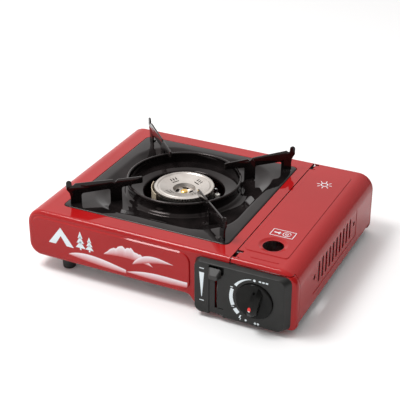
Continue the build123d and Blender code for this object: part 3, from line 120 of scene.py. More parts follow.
# %% Grid surfaces
def grid_faces(rows, columns, close_rows=False, close_columns=False):
    """The four corner numbers of every cell in a rows x columns grid, all going the same way."""
    row = np.arange(rows if close_rows else rows - 1)
    column = np.arange(columns if close_columns else columns - 1)
    row, column = np.meshgrid(row, column, indexing="ij")
    next_row = (row + 1) % rows
    next_column = (column + 1) % columns
    corners = [
        row * columns + column,
        next_row * columns + column,
        next_row * columns + next_column,
        row * columns + next_column,
    ]
    return np.stack(corners, -1).reshape(-1, 4)


def make_piece(name, points, faces, body, smooth=True):
    """A mesh object at the origin from an array of points and a list of faces, riding on a body."""
    mesh = bpy.data.meshes.new(name)
    mesh.from_pydata(points.reshape(-1, 3).tolist(), [], [list(face) for face in faces])
    mesh.update()
    mesh.polygons.foreach_set("use_smooth", np.full(len(mesh.polygons), smooth))
    piece = bpy.data.objects.new(name, mesh)
    bpy.context.scene.collection.objects.link(piece)
    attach(piece, body)
    return piece


def face_outwards(piece):
    """Turns the faces of a closed mesh so that they all point out of it."""
    form = bmesh.new()
    form.from_mesh(piece.data)
    bmesh.ops.recalc_face_normals(form, faces=form.faces)
    form.to_mesh(piece.data)
    form.free()


def revolve(profile, centre, steps):
    """A closed profile of (radius, height) points carried round a vertical axis: rows go round."""
    turn = np.linspace(0, 2 * np.pi, steps, endpoint=False)[:, None]
    radius = profile[None, :, 0]
    height = np.broadcast_to(profile[None, :, 1], (steps, len(profile)))
    return np.stack([centre[0] + radius * np.cos(turn), centre[1] + radius * np.sin(turn), height], -1)


# %% [markdown]
# ## Finishes
# Each finish is one Principled shader. Its even numbers sit on the shader's own sockets, and
# what changes over the surface comes from noise in object coordinates, so it stays with the
# piece as it moves. The scales are per metre: 900 gives grains about a millimetre across.


# %% Shader helpers
def start_finish(name, **even):
    """A material with one Principled shader, its even values set, and a maker for more nodes."""
    finish = bpy.data.materials.new(name)
    finish.use_nodes = True
    tree = finish.node_tree
    shader = tree.nodes["Principled BSDF"]
    for socket, value in even.items():
        shader.inputs[socket.replace("_", " ")].default_value = value

    def node(kind, **settings):
        made = tree.nodes.new("ShaderNode" + kind)
        for key, value in settings.items():
            title = key.replace("_", " ")
            if title in made.inputs:
                made.inputs[title].default_value = value
            else:
                setattr(made, key, value)
        return made

    return finish, tree.links, shader, node


def place(links, node, move=(0, 0, 0)):
    """Object coordinates, moved by a Mapping node. Returns its vector socket."""
    coordinates = node("TexCoord")
    mapping = node("Mapping", Location=move)
    links.new(coordinates.outputs["Object"], mapping.inputs["Vector"])
    return mapping.outputs["Vector"]


def two_tones(links, node, factor, first, second, low=0.35, high=0.65):
    """A colour ramp from first to second, driven by a factor socket."""
    ramp = node("ValToRGB")
    ramp.color_ramp.elements[0].position = low
    ramp.color_ramp.elements[1].position = high
    ramp.color_ramp.elements[0].color = (*first, 1)
    ramp.color_ramp.elements[1].color = (*second, 1)
    links.new(factor, ramp.inputs["Fac"])
    return ramp.outputs["Color"]


def level(links, node, factor, low, high):
    """A factor between 0 and 1 stretched to lie between low and high."""
    stretch = node("MapRange", To_Min=low, To_Max=high)
    links.new(factor, stretch.inputs["Value"])
    return stretch.outputs["Result"]


def dents(links, node, height, depth, shader, strength, sockets=("Normal",)):
    """A Bump node that reads a height and tilts the named normals of the shader."""
    bump = node("Bump", Strength=strength, Distance=depth)
    links.new(height, bump.inputs["Height"])
    for socket in sockets:
        links.new(bump.outputs["Normal"], shader.inputs[socket])


# %% [markdown]
# ### Red lacquer
# The case is stoved enamel paint: a deep red under a clear, wet gloss. The coat layer gives
# the gloss, a fine ripple gives its orange peel, and a slow noise keeps the red from being
# one number all over.


# %% Red lacquer
def red_lacquer():
    """A deep red under a clear coat, with a slow drift of tone and a fine ripple."""
    finish, links, shader, node = start_finish(
        "red lacquer",
        Roughness=0.5,
        Coat_Weight=0.62,
        Coat_Roughness=0.02,
        Coat_IOR=1.5,
        Specular_IOR_Level=0.02,
    )
    where = place(links, node)
    drift = node("TexNoise", Scale=9.0, Detail=3.0)
    peel = node("TexNoise", Scale=420.0, Detail=2.0)
    links.new(where, drift.inputs["Vector"])
    links.new(where, peel.inputs["Vector"])
    red = two_tones(links, node, drift.outputs["Fac"], (0.345, 0.004, 0.005), (0.385, 0.007, 0.008))
    links.new(red, shader.inputs["Base Color"])
    dents(links, node, peel.outputs["Fac"], 0.00002, shader, 0.25, ("Normal", "Coat Normal"))
    return finish


# %% [markdown]
# ### Black glass enamel
# The tray, ring and arms are dipped in glass enamel and fired. It is almost black, very
# shiny, thicker in some places than in others, and it carries a few tiny pinholes. The wide
# flat tray has a thinner coat with a softer shine, so the function takes the IOR.


# %% Black glass enamel
def glass_enamel(name, ior):
    """Wavy black enamel with pinholes. A lower IOR gives a softer shine."""
    finish, links, shader, node = start_finish(
        name, IOR=ior, Specular_IOR_Level=0.5, Specular_Tint=(1.0, 0.87, 0.85, 1.0)
    )
    where = place(links, node)
    waves = node("TexNoise", Scale=38.0, Detail=3.0)
    pinholes = node("TexVoronoi", Scale=260.0, Randomness=1.0)
    links.new(where, waves.inputs["Vector"])
    links.new(where, pinholes.inputs["Vector"])
    black = two_tones(links, node, waves.outputs["Fac"], (0.006, 0.005, 0.005), (0.013, 0.010, 0.010))
    links.new(black, shader.inputs["Base Color"])
    links.new(level(links, node, waves.outputs["Fac"], 0.01, 0.06), shader.inputs["Roughness"])
    hole = node("MapRange", From_Min=0.0, From_Max=0.10, To_Min=0.0, To_Max=0.12)
    links.new(pinholes.outputs["Distance"], hole.inputs["Value"])
    height = node("Math", operation="ADD")
    links.new(waves.outputs["Fac"], height.inputs[0])
    links.new(hole.outputs["Result"], height.inputs[1])
    dents(links, node, height.outputs["Value"], 0.00035, shader, 0.35)
    return finish


# %% [markdown]
# ### Metals
# The cap is bright steel turned on a lathe-like press, so fine rings run round its middle.
# Zinc-plated strips have cloudy crystals, castings are grainy and brass is a little mottled.


# %% Metals
def turned_steel(centre):
    """Bright steel with fine rings round a vertical axis through centre."""
    finish, links, shader, node = start_finish("turned steel", Metallic=1.0)
    where = place(links, node, move=(-centre[0], -centre[1], 0))
    rings = node("TexWave", wave_type="RINGS", rings_direction="Z", Scale=420.0, Distortion=0.6, Detail=2.0)
    cloud = node("TexNoise", Scale=70.0, Detail=4.0)
    links.new(where, rings.inputs["Vector"])
    links.new(where, cloud.inputs["Vector"])
    tone = two_tones(links, node, cloud.outputs["Fac"], (0.52, 0.475, 0.44), (0.60, 0.56, 0.52))
    links.new(tone, shader.inputs["Base Color"])
    links.new(level(links, node, cloud.outputs["Fac"], 0.26, 0.42), shader.inputs["Roughness"])
    dents(links, node, rings.outputs["Fac"], 0.00002, shader, 0.30)
    return finish


def mottled_metal(name, dark, light, grain, rough, depth, crystals=False):
    """A metal whose tone, gloss and skin all follow one noise or crystal pattern."""
    finish, links, shader, node = start_finish(name, Metallic=1.0)
    where = place(links, node)
    if crystals:
        pattern = node("TexVoronoi", Scale=grain, Randomness=1.0)
        factor = pattern.outputs["Color"]
    else:
        pattern = node("TexNoise", Scale=grain, Detail=5.0, Roughness=0.6)
        factor = pattern.outputs["Fac"]
    links.new(where, pattern.inputs["Vector"])
    links.new(two_tones(links, node, factor, dark, light), shader.inputs["Base Color"])
    links.new(level(links, node, factor, *rough), shader.inputs["Roughness"])
    skin = node("TexNoise", Scale=grain * 6, Detail=3.0)
    links.new(where, skin.inputs["Vector"])
    dents(links, node, skin.outputs["Fac"], depth, shader, 0.5)
    return finish


# %% [markdown]
# The burner bowl is a bright casting. Below a height it is painted dark, as painted shade for
# the shade the wind ring throws into it. The knob's pointer changes from red to white in the same way.


# %% Finishes that change with height
def change_at_height(links, node, height, width):
    """A factor that goes from 0 below a height to 1 above it, over a narrow width, in metres."""
    split = node("SeparateXYZ")
    links.new(place(links, node), split.inputs["Vector"])
    change = node("MapRange", From_Min=height - width / 2, From_Max=height + width / 2)
    links.new(split.outputs["Z"], change.inputs["Value"])
    return change.outputs["Result"]


def bowl_with_painted_shade(height):
    """A grainy bright casting, painted dark below a height as painted shade inside the wind ring."""
    finish, links, shader, node = start_finish("burner casting with painted shade", Metallic=1.0)
    bright = change_at_height(links, node, height, 0.3 * MM)
    # the dark tone below the height is painted shade; the light tone above is the casting's own colour
    tone = two_tones(links, node, bright, (0.20, 0.19, 0.18), (0.62, 0.58, 0.54), 0.4, 0.6)
    links.new(tone, shader.inputs["Base Color"])
    grain = node("TexNoise", Scale=1400.0, Detail=4.0)
    links.new(place(links, node), grain.inputs["Vector"])
    rough = node("Math", operation="MULTIPLY_ADD")
    rough.inputs[1].default_value = 0.35
    rough.inputs[2].default_value = 0.25
    links.new(grain.outputs["Fac"], rough.inputs[0])
    links.new(rough.outputs["Value"], shader.inputs["Roughness"])
    dents(links, node, grain.outputs["Fac"], 0.0001, shader, 0.4)
    return finish


def tipped_plastic(height):
    """Red plastic above a height and white below it."""
    finish, links, shader, node = start_finish("red plastic with a white tip", Roughness=0.3)
    red = change_at_height(links, node, height, 0.2 * MM)
    tone = two_tones(links, node, red, (0.85, 0.83, 0.80), (0.90, 0.015, 0.008), 0.4, 0.6)
    links.new(tone, shader.inputs["Base Color"])
    grain = node("TexNoise", Scale=1500.0, Detail=2.0)
    links.new(place(links, node), grain.inputs["Vector"])
    dents(links, node, grain.outputs["Fac"], 0.00002, shader, 0.4)
    return finish


# %% [markdown]
# ### Plastics, rubber, ceramic and ink
# Moulded parts get their life from the spark-eroded grain of the mould: a dense fine noise
# in the bump. The same recipe with other numbers gives rubber, ceramic and printing ink.


# %% Plastics and the rest
def moulded(name, dark, light, rough, grain, depth, **even):
    """A plastic, rubber or ceramic with a grainy skin and a slight change of tone."""
    finish, links, shader, node = start_finish(name, **even)
    where = place(links, node)
    tone = node("TexNoise", Scale=grain / 30, Detail=3.0)
    skin = node("TexNoise", Scale=grain, Detail=2.0)
    links.new(where, tone.inputs["Vector"])
    links.new(where, skin.inputs["Vector"])
    links.new(two_tones(links, node, tone.outputs["Fac"], dark, light), shader.inputs["Base Color"])
    links.new(level(links, node, tone.outputs["Fac"], *rough), shader.inputs["Roughness"])
    dents(links, node, skin.outputs["Fac"], depth, shader, 0.5)
    return finish


def fading_ink(name, strong, faded):
    """Printing ink that fades from strong to faded along the piece's own V coordinate."""
    finish, links, shader, node = start_finish(name, Roughness=0.4, Coat_Weight=0.8, Coat_Roughness=0.05)
    across = node("UVMap", uv_map="print")
    split = node("SeparateXYZ")
    links.new(across.outputs["UV"], split.inputs["Vector"])
    speckle = node("TexNoise", Scale=700.0, Detail=2.0)
    links.new(place(links, node), speckle.inputs["Vector"])
    mix = node("Math", operation="MULTIPLY_ADD")
    mix.inputs[1].default_value = 0.16
    links.new(speckle.outputs["Fac"], mix.inputs[0])
    links.new(split.outputs["Y"], mix.inputs[2])
    tone = two_tones(links, node, mix.outputs["Value"], faded, strong, 0.1, 1.0)
    links.new(tone, shader.inputs["Base Color"])
    return finish


# %% [markdown]
# ### Which part wears which finish
# The finishes are kept in one dictionary under the slot names of the CAD nodes, so that each
# node can look up its own. The knob and the slide are moulded in smoother and rougher plastics
# than the panel they sit on, so they get their own. The slide's black is also a little lighter:
# painted light for its upward-tilted face. Depths of grain are in metres.

# %% Every finish by name
finishes = {
    "red_enamel": red_lacquer(),
    "black_enamel": glass_enamel("black glass enamel", 1.40),
    "tray_enamel": glass_enamel("thin black glass enamel", 1.30),
    "cap_enamel": turned_steel(burner),
    # the burner bowl's dark lower part is painted shade
    "cast_grey": bowl_with_painted_shade(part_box("burner_body")[1][2] - 3.2 * MM),
    "zinc_steel": mottled_metal(
        "zinc plated steel",
        dark=(0.50, 0.50, 0.50),
        light=(0.66, 0.67, 0.68),
        grain=160,
        rough=(0.28, 0.45),
        depth=0.00002,
        crystals=True,
    ),
    "aluminium_cast": mottled_metal(
        "cast aluminium",
        dark=(0.52, 0.52, 0.53),
        light=(0.66, 0.66, 0.67),
        grain=700,
        rough=(0.38, 0.55),
        depth=0.00008,
    ),
    "brass": mottled_metal(
        "brass",
        dark=(0.78, 0.50, 0.14),
        light=(0.92, 0.66, 0.26),
        grain=260,
        rough=(0.18, 0.32),
        depth=0.00002,
    ),
    "black_plastic": moulded(
        "black moulded plastic",
        dark=(0.013, 0.013, 0.012),
        light=(0.018, 0.018, 0.017),
        grain=1900,
        rough=(0.30, 0.38),
        depth=0.00006,
        Specular_IOR_Level=0.3,
    ),
    "knob_plastic": moulded(
        "polished black plastic",
        dark=(0.007, 0.007, 0.007),
        light=(0.011, 0.011, 0.010),
        grain=1900,
        rough=(0.16, 0.24),
        depth=0.00002,
        Specular_IOR_Level=0.12,
    ),
    # the slide's lighter black is painted light for its upward-tilted face; its rougher grain is the
    # plastic's own
    "slide_plastic": moulded(
        "grained black plastic with painted light",
        dark=(0.018, 0.017, 0.016),
        light=(0.026, 0.025, 0.024),
        grain=1700,
        rough=(0.34, 0.42),
        depth=0.00005,
    ),
    "red_plastic": tipped_plastic(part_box("knob_pointer")[0][2] + 1.5 * MM),
    "rubber": moulded(
        "rubber",
        dark=(0.012, 0.012, 0.012),
        light=(0.024, 0.023, 0.022),
        grain=1400,
        rough=(0.55, 0.75),
        depth=0.00012,
    ),
    "ceramic": moulded(
        "glazed ceramic",
        dark=(0.80, 0.77, 0.70),
        light=(0.88, 0.86, 0.80),
        grain=900,
        rough=(0.15, 0.25),
        depth=0.00003,
    ),
    "guard_beige": moulded(
        "heat guard coating",
        dark=(0.52, 0.42, 0.30),
        light=(0.62, 0.52, 0.38),
        grain=1200,
        rough=(0.4, 0.55),
        depth=0.00005,
    ),
    "wire_red": moulded(
        "silicone wire sleeve",
        dark=(0.42, 0.02, 0.015),
        light=(0.50, 0.04, 0.03),
        grain=1300,
        rough=(0.4, 0.5),
        depth=0.00004,
    ),
    "white_ink": moulded(
        "white printing ink",
        dark=(0.70, 0.78, 0.82),
        light=(0.78, 0.85, 0.88),
        grain=1600,
        rough=(0.35, 0.45),
        depth=0.00003,
    ),
    "fading_ink": fading_ink("fading printing ink", (0.84, 0.76, 0.80), (0.50, 0.045, 0.05)),
}

own_finish = {"control_knob": "knob_plastic", "slide_button": "slide_plastic"}
slot_of = {part["node"]: part["material_slot"] for part in frame["record"]["subparts"]}
for name, cad_node in nodes.items():
    cad_node.data.materials.clear()
    cad_node.data.materials.append(finishes[own_finish.get(name, slot_of[name])])
print(len(finishes), "finishes on", len(nodes), "CAD nodes")

# %% [markdown]
# ## Drip tray
# The tray is one pressed sheet: a flat border with a turned-down edge, a basin with sloping
# sides, and a raised ring in the middle whose collar drops round the burner. A press cannot
# fold steel sharply, so each change of slope is a soft bend. The tray is drawn as rings that
# start round at the collar and become rounded squares further out, and every ring where the
# slope changes is replaced by a short curve.


# %% Rings and soft bends
def rounded_square(turn, half, corner):
    """Distance from the centre to a rounded square, in the directions turn.

    On the straight sides it is half / cos(a), with a the angle from the nearest side's middle.
    Round a corner whose centre is c = half - corner out on both axes, it is
    c (cos a + sin a) + sqrt(corner^2 - c^2 (cos a - sin a)^2).
    """
    fold = np.abs((turn + np.pi / 4) % (np.pi / 2) - np.pi / 4)
    flat = half / np.cos(fold)
    inner = half - corner
    under_root = corner**2 - (inner * (np.cos(fold) - np.sin(fold))) ** 2
    bend = inner * (np.cos(fold) + np.sin(fold)) + np.sqrt(np.maximum(under_root, 0))
    return np.where(half * np.tan(fold) > inner, bend, flat)


def soften(rings, reaches, steps=7):
    """Replaces each inner ring by a curve that leaves the ring before and joins the ring after.

    The curve is (1-t)^2 a + 2 t (1-t) b + t^2 c, where b is the ring and a and c lie reach away
    from it along the two straight stretches, but never past their middles.
    """
    t = np.linspace(0, 1, steps)[:, None, None]
    rows = [rings[0][None]]
    for before, ring, after, reach in zip(rings[:-2], rings[1:-1], rings[2:], reaches):
        ends = []
        for other in (before, after):
            step = other - ring
            length = np.linalg.norm(step, axis=1, keepdims=True)
            ends.append(ring + step * np.minimum(0.48, reach / np.maximum(length, 1e-9)))
        rows.append((1 - t) ** 2 * ends[0] + 2 * t * (1 - t) * ring + t**2 * ends[1])
    rows.append(rings[-1][None])
    return np.concatenate(rows)


# %% [markdown]
# The plan of the tray is a table: each row is one ring, with its distance from the burner, its
# height, and how far its soft bend reaches. The corners get extra points, because a rounded
# square turns fastest there. Solidify then gives the sheet its thickness.

# %% Drip tray
TRAY_SHEET = 1.0 * MM
BASIN_DEPTH = 5.7 * MM
RING_FLARE = 1.5 * MM
COLLAR_INSET = 18.3 * MM
tray_low, tray_high = (np.array(corner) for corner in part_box("drip_tray"))
ring_low, ring_high = (np.array(corner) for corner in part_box("wind_ring"))
tray_half = (tray_high[0] - tray_low[0]) / 2
tray_top = tray_high[2]
basin_level = tray_top - BASIN_DEPTH
hill_level = ring_low[2]
ring_radius = (ring_high[0] - ring_low[0]) / 2 - RING_FLARE
collar_radius = ring_radius - COLLAR_INSET

even_turns = np.linspace(0, 2 * np.pi, 320, endpoint=False)
corner_middles = np.pi / 4 + np.arange(4) * np.pi / 2
corner_turns = corner_middles[:, None] + np.linspace(-0.06, 0.06, 33)[None, :]
turns = np.unique(np.round(np.concatenate([even_turns, corner_turns.ravel()]), 5))


def tray_ring(distance, height):
    """One ring of the tray: a distance from the burner, even or by direction, at one height."""
    distance = np.broadcast_to(distance, turns.shape)
    x = burner[0] + distance * np.cos(turns)
    y = burner[1] + distance * np.sin(turns)
    return np.stack([x, y, np.full(turns.shape, height)], -1)


border = rounded_square(turns, tray_half - 0.1 * MM, 6 * MM)
basin_outline = rounded_square(turns, tray_half - 26.65 * MM, 36.5 * MM)
slope_outline = rounded_square(turns, tray_half - 13.15 * MM, 50 * MM)
tray_plan = [
    # the collar round the burner, then the raised middle that slopes up to the wind ring
    (collar_radius, hill_level - 8.0 * MM, None),
    (collar_radius, hill_level - 3.6 * MM, 1.4),
    (ring_radius - 2.0 * MM, hill_level, 3.0),
    # down from the ring to the basin's floor
    (ring_radius + 1.2 * MM, hill_level, 1.5),
    (ring_radius + 4.2 * MM, basin_level + 1.0 * MM, 1.2),
    (ring_radius + 8.0 * MM, basin_level, 2.5),
    # up the basin's side to the flat border and down its turned edge
    (basin_outline, basin_level, 4.0),
    (slope_outline, tray_top, 2.4),
    (border, tray_top, 1.8),
    (border, tray_low[2] + 4.4 * MM, None),
]
plan_rings = [tray_ring(distance, height) for distance, height, _ in tray_plan]
reaches = [reach * MM for _, _, reach in tray_plan[1:-1]]
tray_points = soften(plan_rings, reaches)
tray = make_piece(
    "enamel_tray",
    tray_points,
    grid_faces(*tray_points.shape[:2], close_columns=True)[:, ::-1],
    "pan_support",
)
wall = tray.modifiers.new("sheet", "SOLIDIFY")
wall.thickness = TRAY_SHEET
wall.offset = -1.0
tray.data.materials.append(finishes["tray_enamel"])
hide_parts("drip_tray")
print("drip tray:", tray_points.shape[0], "rings of", tray_points.shape[1], "points")

# %% [markdown]
# ## Wind ring
# A strip of steel stands on the raised middle with its rim rolled into a bead. Its section is
# a loop of points, a flared foot, a thin wall and a round top, and it is revolved.

# %% Wind ring
RING_WALL = 1.0 * MM
BEAD = 1.5 * MM
FOOT_FLARE = 0.5 * MM
FOOT_HEIGHT = 1.2 * MM
bead_turn = np.linspace(-0.36 * np.pi, 1.36 * np.pi, 21)
bead_middle = ring_high[2] - BEAD
bead = np.stack([ring_radius + BEAD * np.cos(bead_turn), bead_middle + BEAD * np.sin(bead_turn)], -1)
ring_foot = ring_low[2] + 0.02 * MM
inside = ring_radius - RING_WALL / 2
outside = ring_radius + RING_WALL / 2
section = np.concatenate(
    [
        [[inside, ring_foot]],
        [[outside + FOOT_FLARE, ring_foot]],
        [[outside, ring_low[2] + FOOT_HEIGHT]],
        bead,
        [[inside, ring_low[2] + FOOT_HEIGHT]],
    ]
)
ring_points = revolve(section, burner, 220)
wind_ring = make_piece(
    "rolled_wind_ring",
    ring_points,
    grid_faces(*ring_points.shape[:2], close_rows=True, close_columns=True),
    "pan_support",
)
face_outwards(wind_ring)
wind_ring.data.materials.append(finishes["black_enamel"])
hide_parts("wind_ring")
print("wind ring:", len(wind_ring.data.polygons), "faces")

# %% [markdown]
# ## Pan arms
# The arms are stamped from thick sheet and enamelled, so their edges are round enough to
# catch a line of light. Each one is a copy of its CAD node with its doubled points merged, and
# a narrow bevel rounds every edge.

# %% Rounded copies of CAD nodes
ARM_EDGE = 0.45 * MM
SHARP_ANGLE = math.radians(40)


def rounded_copy(node, name, width):
    """A merged copy of a CAD node with every sharp edge rounded, which replaces the node."""
    copy = bpy.data.objects.new(name, nodes[node].data.copy())
    bpy.context.scene.collection.objects.link(copy)
    form = bmesh.new()
    form.from_mesh(copy.data)
    bmesh.ops.remove_doubles(form, verts=form.verts, dist=0.002 * MM)
    bmesh.ops.dissolve_limit(form, angle_limit=math.radians(0.5), verts=form.verts, edges=form.edges)
    form.to_mesh(copy.data)
    form.free()
    copy.data.polygons.foreach_set("use_smooth", np.full(len(copy.data.polygons), True))
    round_edges = copy.modifiers.new("rounding", "BEVEL")
    round_edges.width = width
    round_edges.segments = 2
    round_edges.limit_method = "ANGLE"
    round_edges.angle_limit = SHARP_ANGLE
    round_edges.harden_normals = True
    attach(copy, nodes[node]["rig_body"])
    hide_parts(node)


for corner in ("rear_right", "rear_left", "front_left", "front_right"):
    rounded_copy("pan_arm_" + corner, "enamel_arm_" + corner, ARM_EDGE)
print("four arms rounded")

# %% [markdown]
# ## Plunger spring
# A small wire coil inside the igniter pushes its plunger back out. A coil is a circle carried
# along a helix. A real spring gets shorter as the plunger comes in.


# %% Plunger spring
def coiled_wire(start, end, middle_y, middle_z, radius, wire, turns=6, steps=200, sides=10):
    """A circle carried along a helix about x.

    The helix is (x, r cos t, r sin t) with x growing evenly from start to end. The circle lies
    in the plane of its outward direction (0, cos t, sin t) and the direction square to both
    that and the helix.
    """
    t = np.linspace(0, 2 * np.pi * turns, steps)[:, None]
    around = np.linspace(0, 2 * np.pi, sides, endpoint=False)[None, :, None]
    zero = np.zeros_like(t)
    outward = np.stack([zero, np.cos(t), np.sin(t)], -1)
    x = start + (end - start) * t / t[-1]
    path = radius * outward + np.stack([x, zero + middle_y, zero + middle_z], -1)
    rise = (end - start) / (2 * np.pi * turns)
    along = np.stack([zero + rise, -radius * np.sin(t), radius * np.cos(t)], -1)
    across = np.cross(along, outward)
    across /= np.linalg.norm(across, axis=-1, keepdims=True)
    return path + wire * (np.cos(around) * outward + np.sin(around) * across)


SPRING_WIRE = 0.25 * MM
spring_low, spring_high = (np.array(corner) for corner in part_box("plunger_spring"))
spring_middle = (spring_low + spring_high) / 2
coil_points = coiled_wire(
    spring_low[0] + SPRING_WIRE,
    spring_high[0] - SPRING_WIRE,
    spring_middle[1],
    spring_middle[2],
    (spring_high[2] - spring_low[2]) / 2 - SPRING_WIRE,
    SPRING_WIRE,
)
coil_rows, coil_columns = coil_points.shape[:2]
coil_faces = grid_faces(coil_rows, coil_columns, close_columns=True).tolist()
last_row = (coil_rows - 1) * coil_columns
coil_faces.append(list(range(coil_columns)))
coil_faces.append(list(range(last_row, last_row + coil_columns)))
spring = make_piece("springy_plunger_coil", coil_points, coil_faces, "case")
face_outwards(spring)
spring.data.materials.append(finishes[slot_of["plunger_spring"]])
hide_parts("plunger_spring")
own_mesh(spring)

# %% [markdown]
# ## Printed marks
# The white marks are pad printed: thin islands of ink that stand a few hundredths of a
# millimetre proud. Each is a small grid in the plane of its panel, with a copy of the grid
# behind it and a wall round the edge, so that it is a closed solid.


# %% Thin prints
def thin_print(name, face, back, finish, body, fade=False):
    """A closed slab from a grid of face points (rows, columns, 3) and a step back to its back."""
    rows, columns = face.shape[:2]
    count = rows * columns
    points = np.concatenate([face.reshape(-1, 3), (face + np.array(back)).reshape(-1, 3)])
    front = grid_faces(rows, columns)
    number = np.arange(count).reshape(rows, columns)
    rim = np.concatenate([number[0], number[1:, -1], number[-1, -2::-1], number[-2:0:-1, 0]])
    after = np.roll(rim, -1)
    side = np.stack([rim, after, after + count, rim + count], -1)
    faces = np.concatenate([front, front[:, ::-1] + count, side])
    piece = make_piece(name, points, faces, body, smooth=False)
    if fade:
        layer = piece.data.uv_layers.new(name="print")
        u, v = np.meshgrid(np.linspace(0, 1, rows), np.linspace(0, 1, columns), indexing="ij")
        per_point = np.tile(np.stack([u, v], -1).reshape(-1, 2), (2, 1))
        corner = np.zeros(len(piece.data.loops), dtype=np.int32)
        piece.data.loops.foreach_get("vertex_index", corner)
        layer.data.foreach_set("uv", per_point[corner].ravel())
    face_outwards(piece)
    piece.data.materials.append(finish)
    return piece


def on_front(x, z, y):
    """Points on an upright plane at y, from arrays of x and z in metres."""
    return np.stack([x, np.full_like(x, y), z], -1)


def band(x, low, high, across=3):
    """A grid between two curves: x along it, from low to high over a few points."""
    share = np.linspace(0, 1, across)[None, :]
    return np.broadcast_to(x[:, None], (len(x), across)), low[:, None] * (1 - share) + high[:, None] * share


def arc_band(centre, start, end, radius, widths, steps=40):
    """A curved band about centre, from angle start to end, as wide as widths says at each end."""
    turn = np.radians(np.linspace(start, end, steps))[:, None]
    width = np.linspace(widths[0], widths[1], steps)[:, None]
    distance = radius + width * np.linspace(-0.5, 0.5, 4)[None, :]
    return centre[0] + distance * np.cos(turn), centre[1] + distance * np.sin(turn)


# %% [markdown]
# ### Marks on the control panel
# A thin arc that swells and two thick ones show the flame's size round the knob, and a narrow
# wedge shows the slide's way. Short bars stand in for words, and a bolt marks the spark.
# Angles are in degrees from the right, lengths in mm from the knob's axis or the panel's edge.

# %% Marks on the control panel
INK_PROUD = 0.05 * MM
INTO_PANEL = (0, 0.08 * MM, 0)
panel_low = np.array(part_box("control_panel")[0])
ink_y = panel_low[1] - INK_PROUD
ink = finishes["white_ink"]
knob_axis = (knob[0], knob[2])


def panel_print(name, x, z):
    """A mark on the panel's face from grids of x and z in metres."""
    return thin_print("mark_" + name, on_front(x, z, ink_y), INTO_PANEL, ink, "case")


low_arc = arc_band(knob_axis, 99, 148, 26.6 * MM, (0.6 * MM, 3.4 * MM))
panel_print("low_arc", *low_arc)
high_arc = arc_band(knob_axis, 161, 205, 27.6 * MM, (3.8 * MM, 4.6 * MM))
panel_print("high_arc", *high_arc)
light_arc = arc_band(knob_axis, 214, 228, 27.8 * MM, (4.8 * MM, 4.8 * MM), 12)
panel_print("light_arc", *light_arc)
dot_turn = np.linspace(0, 2 * np.pi, 25)[:, None]
dot_size = np.linspace(0.05, 1.5, 3)[None, :] * MM
dot_x = knob[0] - 0.5 * MM + dot_size * np.cos(dot_turn)
dot_z = knob[2] + 26 * MM + dot_size * np.sin(dot_turn)
panel_print("off_dot", dot_x, dot_z)
wedge_z = np.linspace(knob[2] - 11 * MM, knob[2] + 20 * MM, 8)
wedge_half = np.linspace(0.4, 3.0, 8)[:, None] * MM
wedge_x = panel_low[0] + 11.5 * MM + wedge_half * np.linspace(-1, 1, 3)[None, :]
panel_print("lock_wedge", wedge_x, np.broadcast_to(wedge_z[:, None], wedge_x.shape))
# name, right of the panel's left edge, above the knob's axis, width
for name, x, z, width in (
    ("lock_bar_top", 11.5, 25.2, 5.5),
    ("lock_bar_low", 11.5, -16.0, 5.5),
    ("arc_tick_top", 47.6, 11.2, 3.0),
    ("arc_tick_low", 49.2, -13.6, 3.0),
):
    bar_x, bar_z = band(
        panel_low[0] + (x + width * np.linspace(-0.5, 0.5, 4)) * MM,
        np.full(4, knob[2] + (z - 0.5) * MM),
        np.full(4, knob[2] + (z + 0.5) * MM),
    )
    panel_print(name, bar_x, bar_z)

# %% Bolt, spark and short bars
bolt_z = np.array([0.0, 2.6, 2.6, 6.5])
bolt_left = np.array([-0.2, 0.4, -1.6, 0.2]) - 16.6
bolt_right = np.array([0.2, 1.6, 0.2, 1.8]) - 16.6
bolt_share = np.linspace(0, 1, 3)[None, :]
bolt_x = knob[0] + (bolt_left[:, None] * (1 - bolt_share) + bolt_right[:, None] * bolt_share) * MM
panel_print("bolt", bolt_x, np.broadcast_to((knob[2] + (bolt_z - 29.0) * MM)[:, None], bolt_x.shape))
# name, right of and above the knob's axis, size
for name, x, z, size in (
    ("spark", -9.5, -27.5, 1.5),
    ("on_a", 1.5, -28.5, 1.7),
    ("on_b", 5.0, -28.5, 1.7),
):
    turned = np.array([[[0, -size], [-size, 0]], [[size, 0], [0, size]]])
    panel_print(name, knob[0] + (x + turned[..., 0]) * MM, knob[2] + (z + turned[..., 1]) * MM)
for number in range(3):
    dash_x, dash_z = band(
        knob[0] + (6.0 + 4.0 * number + 2.8 * np.linspace(-0.5, 0.5, 3)) * MM,
        np.full(3, knob[2] + 25.3 * MM),
        np.full(3, knob[2] + 27.1 * MM),
    )
    panel_print(f"off_dash_{number}", dash_x, dash_z)
print("control panel marked")

# %% [markdown]
# ## Picture on the front
# Low on the front a landscape is printed: two dunes and two far ridges, white at their crests
# and fading into the red. Each band lies between two curves given by formulas, and its V
# coordinate runs from its foot to its crest, which is what the ink's fade follows.

# %% Landscape bands
front_y = case_low[1]
INTO_CASE = (0, 0.10 * MM, 0)
scene_left = case_low[0]
ground = case_low[2] + 22.0 * MM


def landscape_band(name, start, end, foot, crest, layer=0):
    """A band between two curves of a share s from 0 to 1, from start to end in mm from the left.

    A layer above 0 stands a little prouder, so that it covers the bands under it.
    """
    s = np.linspace(0, 1, 90)
    x = scene_left + (start + (end - start) * s) * MM
    low = ground + foot(s) * MM
    high = ground + np.maximum(crest(s), foot(s) + 0.05) * MM
    grid_x, grid_z = band(x, low, high, 8)
    points = on_front(grid_x, grid_z, front_y - INK_PROUD - layer * 0.04 * MM)
    return thin_print(name, points, INTO_CASE, finishes["fading_ink"], "case", fade=True)


def swell(s, height, lean=1.0):
    """A single smooth hump: height times sin(pi s^lean)."""
    return height * np.sin(np.pi * s**lean)


